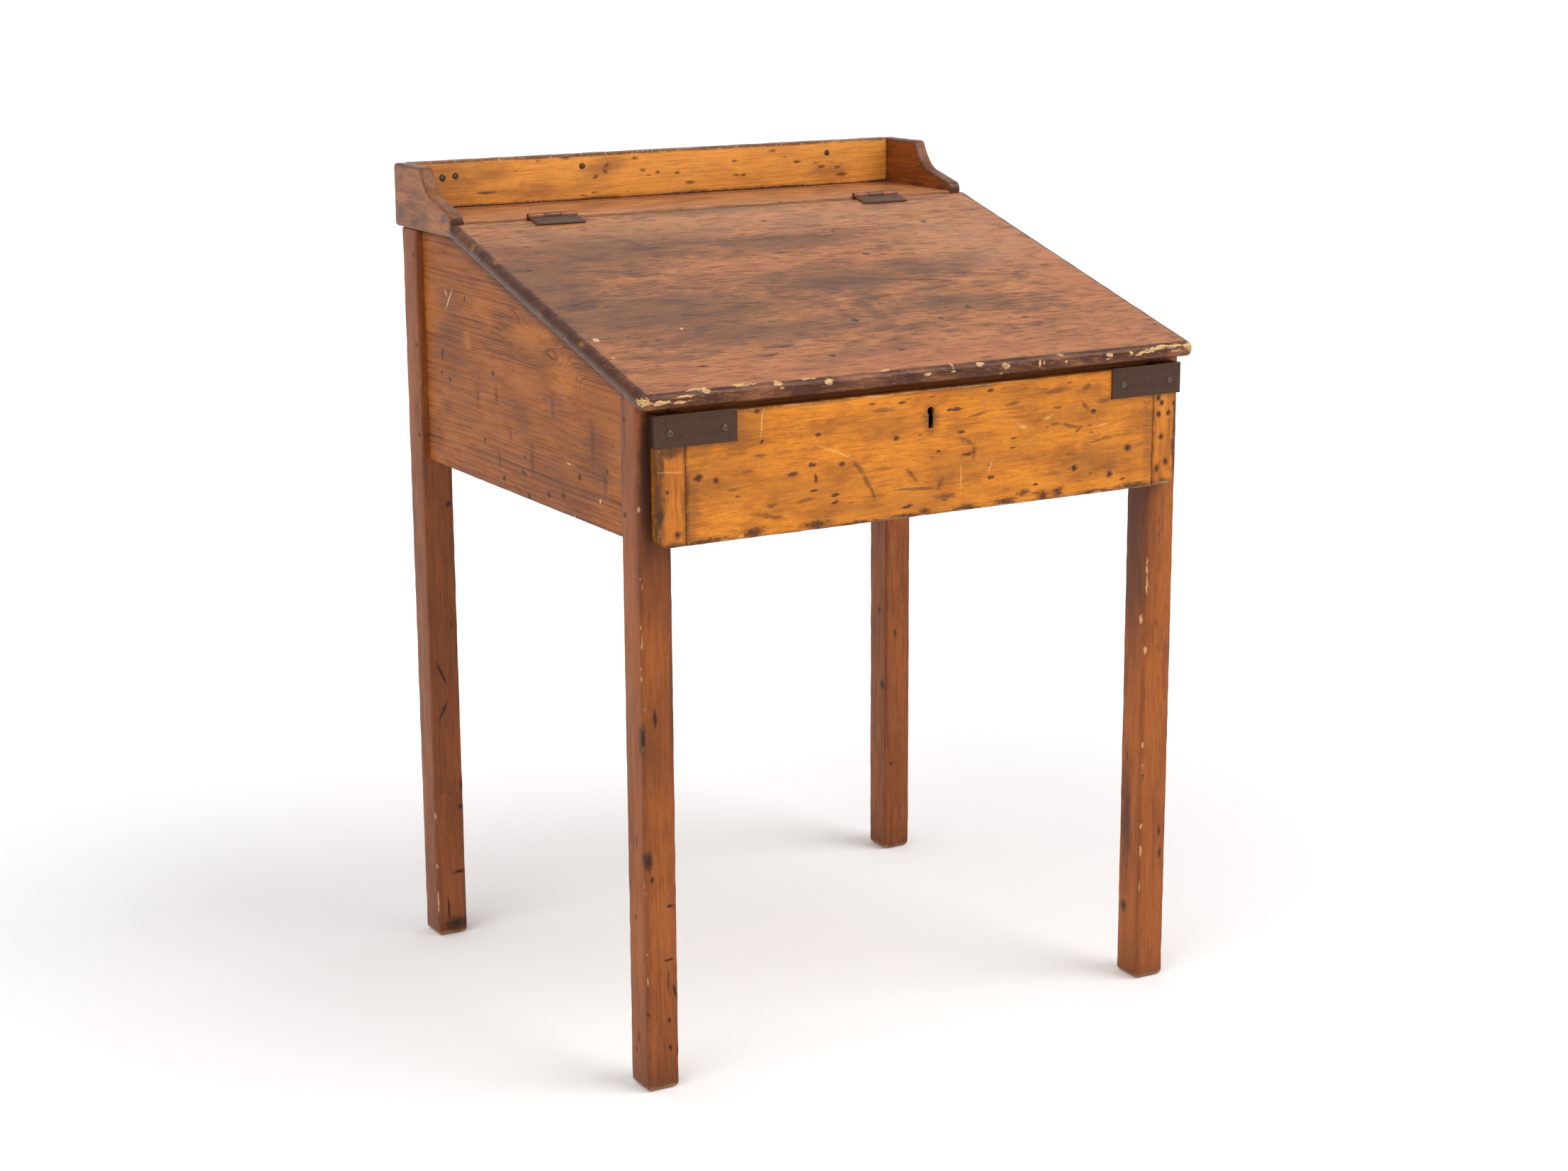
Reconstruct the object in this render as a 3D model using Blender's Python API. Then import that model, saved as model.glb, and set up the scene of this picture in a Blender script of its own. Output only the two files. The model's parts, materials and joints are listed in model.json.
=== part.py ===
"""A slant-lid schoolmaster's desk: four legs, a lockable drawer and a galleried shelf. Metres, +Z up.

X runs along the front, from left to right, and Y from the front to the back. The origin is on the floor,
under the middle of the desk.
"""

import math

import bmesh
import bpy
from mathutils import Matrix, Vector

# Fits
GAP = 0.0003  # between pieces that touch
OVERCUT = 0.004  # how far a cutter runs past the face that it opens
SLIDE_GAP = 0.0004  # under the drawer sides
DRAWER_SIDE_CLEARANCE = 0.0015  # between a drawer side and a leg
DRAWER_HEAD_GAP = 0.002  # over the drawer sides

# Legs
FRAME_WIDTH = 0.690  # over the legs
FRAME_DEPTH = 0.600
BACK_LEG_HEIGHT = 0.876
LEG_WIDTH = 0.038
LEG_DEPTH = 0.040
LEG_TOP_GAP = 0.0035  # from a front leg to the lid
LEG_EASE = 0.0016

# Side and back panels
PANEL_THICKNESS = 0.018
PANEL_RECESS = 0.008  # behind the legs' outer faces
TONGUE_THICKNESS = 0.008
SIDE_TONGUE = 0.018
BACK_TONGUE = 0.014
BOARD_EASE = 0.001

# Lid
LID_SLOPE = math.radians(15.7)
LID_THICKNESS = 0.017
LID_FRONT_OVERHANG = 0.022
LID_END_OVERHANG = 0.006
LID_NOSING = 0.008
LID_UNDER_ROUND = 0.006
LID_CORNER = 0.008
LID_REST_GAP = 0.0005
SEAM_GAP = 0.0012

# Battens under the lid
BATTEN_WIDTH = 0.036
BATTEN_THICKNESS = 0.012
BATTEN_SIDE_GAP = 0.012
BATTEN_FRONT_INSET = 0.090
BATTEN_REAR_INSET = 0.055

# Shelf and gallery
SHELF_DEPTH = 0.164
SHELF_THICKNESS = 0.018
GALLERY_REAR_OVERHANG = 0.014
GALLERY_END_OVERHANG = 0.002
GALLERY_END_THICKNESS = 0.016
GALLERY_BACK_THICKNESS = 0.016
GALLERY_HEIGHT = 0.074
GALLERY_EASE = 0.0025
SCROLL_LENGTH = 0.088  # from the tip of an end to its level top
SHOULDER_RADIUS = 0.010
SHOULDER_STEEPNESS = math.radians(60)
SHOULDER_RUN = 0.010
COVE_RADIUS = 0.040
SCROLL_FALL = math.radians(14)
NOSE_RADIUS = 0.012
GALLERY_TOP_CORNER = 0.008
GALLERY_FOOT_CORNER = 0.004

# Rails between the front legs
RAIL_SETBACK = 0.0005
RAIL_REAR_SETBACK = 0.0035
RAIL_TENON = 0.014
RAIL_TENON_INSET = 0.009  # behind the legs' front faces
TOP_RAIL_LAP = 0.0095  # how far the drawer front covers the top rail
LOWER_RAIL_HEIGHT = 0.018
LOWER_RAIL_RISE = 0.0035  # above the bottom of the drawer front

# Inside of the case
FLOOR_THICKNESS = 0.010
FLOOR_LIFT = 0.003  # above the bottom of the top rail
FLOOR_TONGUE = 0.006
KICKER_HEIGHT = 0.013
RUNNER_HEIGHT = 0.018
RUNNER_LIP = 0.005  # past the inner face of the drawer side
GUIDE_HEIGHT = 0.020

# Drawer
DRAWER_FRONT_INSET = 0.014  # from the legs' outer faces
DRAWER_FRONT_WIDTH = FRAME_WIDTH - 2 * DRAWER_FRONT_INSET
DRAWER_FRONT_HEIGHT = 0.137
DRAWER_FRONT_THICKNESS = 0.017
DRAWER_TOP_GAP = 0.007  # from the drawer front to the lid
DRAWER_LOWER_CORNER = 0.010
CLAMP_WIDTH = 0.0325
CLAMP_TONGUE = 0.014
CLAMP_TONGUE_THICKNESS = 0.006
CLAMP_TONGUE_STOP = 0.014  # short of the drawer front's edges
DRAWER_SIDE_THICKNESS = 0.012
DRAWER_SIDE_DADO = 0.004
DRAWER_REAR_SPACE = 0.070
DRAWER_BOTTOM_THICKNESS = 0.007
DRAWER_BOTTOM_RISE = 0.008
DRAWER_BOTTOM_GROOVE = 0.0045
DRAWER_BOTTOM_INSET = 0.004  # in from the side's face, where the bottom enters the front
DRAWER_BACK_THICKNESS = 0.012
DRAWER_BACK_DROP = 0.006
LEFT_CLAMP_NAIL_SHARES = (0.10, 0.57)
RIGHT_CLAMP_NAIL_SHARES = (0.20, 0.57)

# Lock
KEYHOLE_DROP = 0.0228  # from the top of the drawer front to the round of the keyhole
KEYHOLE_RADIUS = 0.0045
KEYHOLE_SLOT_WIDTH = 0.006
KEYHOLE_SLOT_LENGTH = 0.019
LOCK_WIDTH = 0.058
LOCK_HEIGHT = 0.044
LOCK_THICKNESS = 0.012
LOCK_HEAD_GAP = 0.001  # under the top rail
LOCK_SCREW_INSET = 0.0055
BOLT_WIDTH = 0.024
BOLT_HEIGHT = 0.028
BOLT_THICKNESS = 0.004
BOLT_SETBACK = 0.0075  # from the back of the drawer front to the bolt's middle
BOLT_LEG_WIDTH = 0.0045
BOLT_TRAVEL = 0.008
BOLT_HOLE_MARGIN = 0.001  # round the thrown bolt in the rail
KEY_CLEARANCE = 0.0006

# Corner straps on the drawer front
STRAP_LENGTH = 0.092
STRAP_HEIGHT = 0.032
STRAP_THICKNESS = 0.002
STRAP_TOP_LENGTH = 0.030
STRAP_SCREW_INSET = 0.013
STRAP_SCREW_SPACING = 0.064
STRAP_SCREW_SHARE = 0.48  # of the strap's height, from its bottom

# Hinges
HINGE_LENGTH = 0.062
HINGE_INSET = 0.131  # from the lid's ends to the middle of a hinge
HINGE_PLACE = FRAME_WIDTH / 2 + LID_END_OVERHANG - HINGE_INSET  # from the middle of the desk
HINGE_RISE = 0.0015  # of the pin above the shelf
LEAF_THICKNESS = 0.0016
LID_LEAF_WIDTH = 0.026
SHELF_LEAF_FOOT = 0.002  # above the shelf's underside
BARREL_RADIUS = 0.0035
BARREL_CLEARANCE = 0.0006
PIN_RADIUS = 0.0014
KNUCKLE_GAP = 0.0006
KNUCKLES = 3
LID_LEAF_SCREW_SHARES = (-0.3, 0.3)
SHELF_LEAF_SCREW_SHARES = (-0.3, 0.3)

# Fasteners: shank radius, head radius, head height and length under the head
FLAT_SCREW = (0.0012, 0.0026, 0.0014, 0.011)
LOCK_SCREW = (0.0014, 0.0028, 0.0015, 0.021)
STRAP_SCREW = (0.0016, 0.0042, 0.0012, 0.013)
NAIL = (0.0011, 0.0021, 0.0006, 0.012)

# Fineness of round shapes
FASTENER_SIDES = 10
ROUND_SIDES = 16
ARC_STEPS = 5
EASE_STEPS = 2
CORNER_STEPS = 3
NOSING_STEPS = 4
UNDER_ROUND_STEPS = 3
ROUND_PROFILE = 0.5
SMOOTH_ANGLE = math.radians(35)
SAME_PLACE = 0.00003  # points closer than this are at one place

# Colour, roughness and metallic value of each finish
FINISHES = {
    "amber_pine": ((0.42, 0.19, 0.05), 0.45, 0.0),
    "red_pine": ((0.22, 0.08, 0.03), 0.45, 0.0),
    "dark_pine": ((0.13, 0.065, 0.04), 0.35, 0.0),
    "bare_pine": ((0.45, 0.27, 0.13), 0.70, 0.0),
    "dark_iron": ((0.06, 0.05, 0.042), 0.50, 0.9),
    "brown_steel": ((0.13, 0.08, 0.05), 0.45, 0.9),
}

SIDES = (("left", -1), ("right", 1))

# Places that follow from the sizes, front to back
overall_depth = LID_FRONT_OVERHANG + FRAME_DEPTH + GALLERY_REAR_OVERHANG
front_y = LID_FRONT_OVERHANG - overall_depth / 2
back_y = front_y + FRAME_DEPTH
gallery_rear_y = back_y + GALLERY_REAR_OVERHANG
seam_y = gallery_rear_y - SHELF_DEPTH
shelf_front_y = seam_y + SEAM_GAP / 2
front_leg_rear_y = front_y + LEG_DEPTH
back_leg_fore_y = back_y - LEG_DEPTH
back_panel_rear_y = back_y - PANEL_RECESS
back_panel_fore_y = back_panel_rear_y - PANEL_THICKNESS
rail_front_y = front_y + RAIL_SETBACK
rail_rear_y = front_leg_rear_y - RAIL_REAR_SETBACK
drawer_rebate_y = front_y - GAP
drawer_face_y = drawer_rebate_y - DRAWER_FRONT_THICKNESS
drawer_rear_y = back_panel_fore_y - DRAWER_REAR_SPACE
bolt_y = drawer_rebate_y + BOLT_SETBACK

# Across
leg_out_x = FRAME_WIDTH / 2
leg_in_x = leg_out_x - LEG_WIDTH
panel_out_x = leg_out_x - PANEL_RECESS
panel_in_x = panel_out_x - PANEL_THICKNESS
panel_mid_x = (panel_out_x + panel_in_x) / 2
lid_half = leg_out_x + LID_END_OVERHANG
gallery_out_x = leg_out_x + GALLERY_END_OVERHANG
gallery_in_x = gallery_out_x - GALLERY_END_THICKNESS
side_out_x = leg_in_x - DRAWER_SIDE_CLEARANCE
side_in_x = side_out_x - DRAWER_SIDE_THICKNESS
runner_in_x = side_in_x - RUNNER_LIP
drawer_half = DRAWER_FRONT_WIDTH / 2
clamp_joint_x = drawer_half - CLAMP_WIDTH

# Upwards
shelf_bottom_z = BACK_LEG_HEIGHT + GAP
shelf_top_z = shelf_bottom_z + SHELF_THICKNESS
gallery_top_z = shelf_bottom_z + GALLERY_HEIGHT
hinge_z = shelf_top_z + HINGE_RISE


def lid_under_z(y):
    """Height of the lid's underside over a point of the case."""
    return shelf_top_z - (seam_y - y) * math.tan(LID_SLOPE) - LID_THICKNESS / math.cos(LID_SLOPE)


drawer_top_z = lid_under_z(drawer_face_y) - DRAWER_TOP_GAP
drawer_bottom_z = drawer_top_z - DRAWER_FRONT_HEIGHT
panel_bottom_z = drawer_bottom_z
top_rail_bottom_z = drawer_top_z - TOP_RAIL_LAP
lower_rail_bottom_z = drawer_bottom_z + LOWER_RAIL_RISE
lower_rail_top_z = lower_rail_bottom_z + LOWER_RAIL_HEIGHT
floor_bottom_z = top_rail_bottom_z + FLOOR_LIFT
floor_top_z = floor_bottom_z + FLOOR_THICKNESS
kicker_top_z = floor_bottom_z - GAP
kicker_bottom_z = kicker_top_z - KICKER_HEIGHT
side_bottom_z = lower_rail_top_z + SLIDE_GAP
side_top_z = kicker_bottom_z - DRAWER_HEAD_GAP
drawer_bottom_low_z = side_bottom_z + DRAWER_BOTTOM_RISE
drawer_bottom_high_z = drawer_bottom_low_z + DRAWER_BOTTOM_THICKNESS
lock_top_z = top_rail_bottom_z - LOCK_HEAD_GAP
lock_bottom_z = lock_top_z - LOCK_HEIGHT
keyhole_z = drawer_top_z - KEYHOLE_DROP
bolt_top_z = lock_top_z - GAP
bolt_bottom_z = bolt_top_z - BOLT_HEIGHT

# The lid's own frame: v runs up the slope to the back, w out of its top face, and the pin is at (0, 0)
lid_frame = Matrix.Translation((0, seam_y, hinge_z)) @ Matrix.Rotation(LID_SLOPE, 4, "X")
lid_top_w = -HINGE_RISE * math.cos(LID_SLOPE)
lid_bottom_w = lid_top_w - LID_THICKNESS
nosing_reach = seam_y + overall_depth / 2
nosing_centre_v = (
    (lid_top_w - LID_NOSING) * math.sin(LID_SLOPE) + LID_NOSING - nosing_reach
) / math.cos(LID_SLOPE)
lid_front_v = nosing_centre_v - LID_NOSING

# Directions out of a face, for fasteners
OUT_FRONT = Matrix.Rotation(math.pi / 2, 4, "X")
OUT_BACK = Matrix.Rotation(-math.pi / 2, 4, "X")


def clear_scene():
    for item in list(bpy.data.objects):
        bpy.data.objects.remove(item, do_unlink=True)


def material(name, finish):
    colour, roughness, metallic = FINISHES[finish]
    made = bpy.data.materials.new(f"{name}_{finish}")
    made.use_nodes = True
    shader = made.node_tree.nodes["Principled BSDF"]
    shader.inputs["Base Color"].default_value = (*colour, 1.0)
    shader.inputs["Roughness"].default_value = roughness
    shader.inputs["Metallic"].default_value = metallic
    made.diffuse_color = (*colour, 1.0)
    return made


def pivot(name, place, parent=None):
    """An empty at a joint, which carries the pieces that move with it."""
    empty = bpy.data.objects.new(name, None)
    bpy.context.scene.collection.objects.link(empty)
    empty.parent = parent
    empty.location = Vector(place) - (parent.matrix_world.translation if parent else Vector())
    bpy.context.view_layer.update()
    return empty


def mesh_object(name, shape, parent):
    """An object whose origin is at the middle of its shape, which is given in world coordinates."""
    bmesh.ops.recalc_face_normals(shape, faces=shape.faces)
    corners = [[point.co[axis] for point in shape.verts] for axis in range(3)]
    centre = Vector([(min(values) + max(values)) / 2 for values in corners])
    shape.transform(Matrix.Translation(-centre))
    mesh = bpy.data.meshes.new(name)
    shape.to_mesh(mesh)
    shape.free()
    item = bpy.data.objects.new(name, mesh)
    bpy.context.scene.collection.objects.link(item)
    item.parent = parent
    item.location = centre - parent.matrix_world.translation
    return item


def piece(name, shape, parent, finish, ease=0.0):
    """A sub-part with its own material, and with its sharp edges eased where a width is given."""
    item = mesh_object(name, shape, parent)
    item.data.materials.append(material(name, finish))
    item.data.shade_smooth()
    item.data.set_sharp_from_angle(angle=SMOOTH_ANGLE)
    if ease:
        bevel = item.modifiers.new("eased_edges", "BEVEL")
        bevel.width = ease
        bevel.segments = EASE_STEPS
        bevel.limit_method = "ANGLE"
        bevel.angle_limit = SMOOTH_ANGLE
    return item


def tool(name, shape, parent):
    """A helper solid that only cuts or joins."""
    item = mesh_object(name, shape, parent)
    item.hide_render = True
    item.display_type = "WIRE"
    return item


def combine(target, helper, operation="DIFFERENCE"):
    step = target.modifiers.new(helper.name, "BOOLEAN")
    step.operation = operation
    step.solver = "EXACT"
    step.object = helper


def box(shape, xs, ys, zs):
    """Adds a box between two values on each axis, in either order."""
    outline = [(xs[0], ys[0]), (xs[1], ys[0]), (xs[1], ys[1]), (xs[0], ys[1])]
    prism(shape, outline, "Z", zs[0], zs[1])


def prism(shape, outline, axis, low, high):
    """Adds an outline drawn out along an axis. The outline is in the other two axes, in their order."""
    lift = {
        "X": lambda u, v, d: (d, u, v),
        "Y": lambda u, v, d: (u, d, v),
        "Z": lambda u, v, d: (u, v, d),
    }[axis]
    ends = [[shape.verts.new(lift(u, v, d)) for u, v in outline] for d in (low, high)]
    count = len(outline)
    for index in range(count):
        after = (index + 1) % count
        shape.faces.new((ends[0][index], ends[0][after], ends[1][after], ends[1][index]))
    shape.faces.new(ends[0])
    shape.faces.new(ends[1])


def turned(shape, profile, sides, place):
    """Adds a turned solid from (radius, height) pairs, lowest first, with its axis on Z of the place."""
    turns = [2 * math.pi * index / sides for index in range(sides)]
    rings = [
        [shape.verts.new(place @ Vector((r * math.cos(a), r * math.sin(a), h))) for a in turns]
        for r, h in profile
    ]
    for lower, upper in zip(rings, rings[1:]):
        for index in range(sides):
            after = (index + 1) % sides
            shape.faces.new((lower[index], lower[after], upper[after], upper[index]))
    shape.faces.new(rings[0])
    shape.faces.new(rings[-1])


def arc(centre, radius, start, end, steps=ARC_STEPS):
    """Points along an arc, with both ends."""
    angles = [start + (end - start) * step / steps for step in range(steps + 1)]
    return [(centre[0] + radius * math.cos(a), centre[1] + radius * math.sin(a)) for a in angles]


def rounded_lower_corner(outer_x, low_z, sign):
    """The lower outer corner of the drawer front, as points from its end to its bottom edge."""
    centre = (sign * (outer_x - DRAWER_LOWER_CORNER), low_z + DRAWER_LOWER_CORNER)
    start = 0.0 if sign > 0 else math.pi
    return arc(centre, DRAWER_LOWER_CORNER, start, start - sign * math.pi / 2)


def sunk_profile(size, clearance=0.0):
    """A countersunk screw with its head flush at height 0, or the hole for it with a clearance."""
    shank, head, height, length = size
    profile = [
        (shank + clearance, -length - clearance),
        (shank + clearance, -height),
        (head + clearance, 0.0),
    ]
    if clearance:
        profile.append((head + clearance, OVERCUT))
    return profile


def raised_profile(size):
    """A screw or nail whose head stands on the face at height 0."""
    shank, head, height, length = size
    crown = height / 2
    return [(shank, -length), (shank, GAP), (head, GAP), (head, GAP + crown), (head - crown, GAP + height)]


def shank_profile(size):
    """The hole for a screw or nail whose head stands on the face."""
    shank, _, _, length = size
    return [(shank + GAP, -length - GAP), (shank + GAP, OVERCUT)]


def holes_tool(name, profile, places, parent):
    shape = bmesh.new()
    for place in places:
        turned(shape, profile, FASTENER_SIDES, place)
    return tool(name, shape, parent)


def fasteners(name, profile, places, parent, finish):
    """One object for each fastener, numbered from 1."""
    for number, place in enumerate(places, 1):
        shape = bmesh.new()
        turned(shape, profile, FASTENER_SIDES, place)
        piece(f"{name}_{number}", shape, parent, finish)


def slope_tool(name, drop, parent):
    """A wedge that takes away everything nearer to the lid than the drop."""
    far_y = seam_y + SHELF_DEPTH
    near_y = front_y - LEG_DEPTH
    far_z = lid_under_z(far_y) - drop
    near_z = lid_under_z(near_y) - drop
    shape = bmesh.new()
    prism(shape, [(near_y, near_z), (far_y, far_z), (near_y, far_z)], "X", -lid_half, lid_half)
    return tool(name, shape, parent)


def make_legs(frame):
    leg_slope = slope_tool("leg_slope", LEG_TOP_GAP, frame)
    groove_half = TONGUE_THICKNESS / 2 + GAP
    for side, sign in SIDES:
        xs = (sign * leg_out_x, sign * leg_in_x)
        groove_xs = (sign * (panel_mid_x - groove_half), sign * (panel_mid_x + groove_half))
        front_top_z = lid_under_z(front_leg_rear_y)

        shape = bmesh.new()
        box(shape, xs, (front_y, front_leg_rear_y), (0.0, front_top_z))
        leg = piece(f"leg_front_{side}", shape, frame, "red_pine", LEG_EASE)
        joints = bmesh.new()
        groove_ys = (front_leg_rear_y - SIDE_TONGUE, front_leg_rear_y + OVERCUT)
        box(joints, groove_xs, groove_ys, (panel_bottom_z - GAP, front_top_z + OVERCUT))
        mortise_xs = (sign * (leg_in_x - OVERCUT), sign * (leg_in_x + RAIL_TENON))
        tenon_y = front_y + RAIL_TENON_INSET
        mortise_ys = (tenon_y - GAP, tenon_y + TONGUE_THICKNESS + GAP)
        box(joints, mortise_xs, mortise_ys, (top_rail_bottom_z - GAP, front_top_z + OVERCUT))
        box(joints, mortise_xs, mortise_ys, (lower_rail_bottom_z - GAP, lower_rail_top_z + GAP))
        combine(leg, tool(f"joints_front_{side}", joints, frame))
        combine(leg, leg_slope)

        shape = bmesh.new()
        box(shape, xs, (back_leg_fore_y, back_y), (0.0, BACK_LEG_HEIGHT))
        leg = piece(f"leg_back_{side}", shape, frame, "red_pine", LEG_EASE)
        joints = bmesh.new()
        groove_ys = (back_leg_fore_y - OVERCUT, back_leg_fore_y + SIDE_TONGUE)
        groove_zs = (panel_bottom_z - GAP, BACK_LEG_HEIGHT + OVERCUT)
        box(joints, groove_xs, groove_ys, groove_zs)
        back_groove_xs = (sign * (leg_in_x - OVERCUT), sign * (leg_in_x + BACK_TONGUE))
        back_mid_y = (back_panel_fore_y + back_panel_rear_y) / 2
        box(joints, back_groove_xs, (back_mid_y - groove_half, back_mid_y + groove_half), groove_zs)
        combine(leg, tool(f"joints_back_{side}", joints, frame))


def make_side_panels(frame, rest_slope):
    ys = (front_leg_rear_y - SIDE_TONGUE + GAP, back_leg_fore_y + SIDE_TONGUE - GAP)
    zs = (panel_bottom_z, BACK_LEG_HEIGHT)
    cheek_zs = (panel_bottom_z - OVERCUT, BACK_LEG_HEIGHT + OVERCUT)
    for side, sign in SIDES:
        shape = bmesh.new()
        box(shape, (sign * panel_out_x, sign * panel_in_x), ys, zs)
        panel = piece(f"side_panel_{side}", shape, frame, "red_pine", BOARD_EASE)
        cheeks = bmesh.new()
        for edge, face in ((1, panel_out_x + OVERCUT), (-1, panel_in_x - OVERCUT)):
            cheek_xs = (sign * (panel_mid_x + edge * TONGUE_THICKNESS / 2), sign * face)
            box(cheeks, cheek_xs, (ys[0] - OVERCUT, front_leg_rear_y + GAP), cheek_zs)
            box(cheeks, cheek_xs, (back_leg_fore_y - GAP, ys[1] + OVERCUT), cheek_zs)
        combine(panel, tool(f"panel_cheeks_{side}", cheeks, frame))
        combine(panel, rest_slope)


def make_back_panel(frame):
    reach = leg_in_x + BACK_TONGUE - GAP
    shape = bmesh.new()
    zs = (panel_bottom_z, BACK_LEG_HEIGHT)
    box(shape, (-reach, reach), (back_panel_fore_y, back_panel_rear_y), zs)
    panel = piece("back_panel", shape, frame, "red_pine", BOARD_EASE)
    cheeks = bmesh.new()
    middle_y = (back_panel_fore_y + back_panel_rear_y) / 2
    cheek_zs = (panel_bottom_z - OVERCUT, BACK_LEG_HEIGHT + OVERCUT)
    for _, sign in SIDES:
        cheek_xs = (sign * (leg_in_x - GAP), sign * (reach + OVERCUT))
        box(cheeks, cheek_xs, (back_panel_fore_y - OVERCUT, middle_y - TONGUE_THICKNESS / 2), cheek_zs)
        box(cheeks, cheek_xs, (middle_y + TONGUE_THICKNESS / 2, back_panel_rear_y + OVERCUT), cheek_zs)
    combine(panel, tool("back_cheeks", cheeks, frame))


def make_rail(name, zs, frame):
    """A rail between the front legs, with a tenon at each end."""
    reach = leg_in_x + RAIL_TENON - GAP
    shape = bmesh.new()
    box(shape, (-reach, reach), (rail_front_y, rail_rear_y), zs)
    rail = piece(name, shape, frame, "bare_pine", BOARD_EASE)
    cheeks = bmesh.new()
    tenon_y = front_y + RAIL_TENON_INSET
    cheek_zs = (zs[0] - OVERCUT, zs[1] + OVERCUT)
    for _, sign in SIDES:
        cheek_xs = (sign * (leg_in_x - GAP), sign * (reach + OVERCUT))
        box(cheeks, cheek_xs, (rail_front_y - OVERCUT, tenon_y), cheek_zs)
        box(cheeks, cheek_xs, (tenon_y + TONGUE_THICKNESS, rail_rear_y + OVERCUT), cheek_zs)
    combine(rail, tool(f"{name}_cheeks", cheeks, frame))
    return rail


def make_rails(frame, rest_slope):
    make_rail("lower_rail", (lower_rail_bottom_z, lower_rail_top_z), frame)
    rail = make_rail("top_rail", (top_rail_bottom_z, lid_under_z(rail_rear_y)), frame)
    openings = bmesh.new()
    groove_zs = (floor_bottom_z - GAP, floor_top_z + GAP)
    box(openings, (-leg_in_x, leg_in_x), (rail_rear_y - FLOOR_TONGUE, rail_rear_y + OVERCUT), groove_zs)
    hole_x = BOLT_WIDTH / 2 + BOLT_HOLE_MARGIN
    hole_y = BOLT_THICKNESS / 2 + BOLT_HOLE_MARGIN
    hole_zs = (top_rail_bottom_z - OVERCUT, bolt_top_z + BOLT_TRAVEL + BOLT_HOLE_MARGIN)
    box(openings, (-hole_x, hole_x), (bolt_y - hole_y, bolt_y + hole_y), hole_zs)
    combine(rail, tool("rail_openings", openings, frame))
    combine(rail, rest_slope)


def make_drawer_guidance(frame):
    """What the drawer runs on, between and under, at each side of the case."""
    ys = (front_leg_rear_y + GAP, back_leg_fore_y - GAP)
    outer_x = panel_in_x - GAP
    strips = {
        "drawer_runner": (runner_in_x, (lower_rail_top_z - RUNNER_HEIGHT, lower_rail_top_z)),
        "drawer_guide": (leg_in_x, (lower_rail_top_z + GAP, lower_rail_top_z + GUIDE_HEIGHT)),
        "drawer_kicker": (runner_in_x, (kicker_bottom_z, kicker_top_z)),
    }
    for side, sign in SIDES:
        for name, (inner_x, zs) in strips.items():
            shape = bmesh.new()
            box(shape, (sign * inner_x, sign * outer_x), ys, zs)
            piece(f"{name}_{side}", shape, frame, "bare_pine")


def make_floor(frame):
    """The floor under the lid, tongued into the top rail and fitted round the legs."""
    wide = panel_in_x - GAP
    narrow = leg_in_x - GAP
    tongue_y = rail_rear_y - FLOOR_TONGUE + GAP
    front = front_leg_rear_y + GAP
    rear = back_leg_fore_y - GAP
    rear_edge = back_panel_fore_y - GAP
    right = [(narrow, tongue_y), (narrow, front), (wide, front)]
    right += [(wide, rear), (narrow, rear), (narrow, rear_edge)]
    left = [(-x, y) for x, y in reversed(right)]
    shape = bmesh.new()
    prism(shape, right + left, "Z", floor_bottom_z, floor_top_z)
    piece("compartment_floor", shape, frame, "bare_pine")


def make_shelf(frame, holes):
    half = gallery_in_x - GAP
    shape = bmesh.new()
    box(shape, (-half, half), (shelf_front_y, gallery_rear_y), (shelf_bottom_z, shelf_top_z))
    shelf = piece("shelf", shape, frame, "dark_pine", BOARD_EASE)
    barrels = bmesh.new()
    gains = bmesh.new()
    gain_half = HINGE_LENGTH / 2 + GAP
    for _, sign in SIDES:
        middle = sign * HINGE_PLACE
        add_barrel_notch(barrels, middle, seam_y, hinge_z)
        gain_ys = (shelf_front_y - OVERCUT, shelf_front_y + LEAF_THICKNESS + GAP)
        box(gains, (middle - gain_half, middle + gain_half), gain_ys, (shelf_leaf_low_z() - GAP, hinge_z))
    combine(shelf, tool("shelf_barrel_notches", barrels, frame))
    combine(shelf, tool("shelf_gains", gains, frame))
    combine(shelf, holes)


def add_barrel_notch(shape, middle_x, u, v):
    """Room for a hinge barrel, along X through a point of the other two axes."""
    half = HINGE_LENGTH / 2 + BARREL_CLEARANCE
    outline = arc((u, v), BARREL_RADIUS + BARREL_CLEARANCE, 0.0, 2 * math.pi, ROUND_SIDES)[:-1]
    prism(shape, outline, "X", middle_x - half, middle_x + half)


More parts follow.
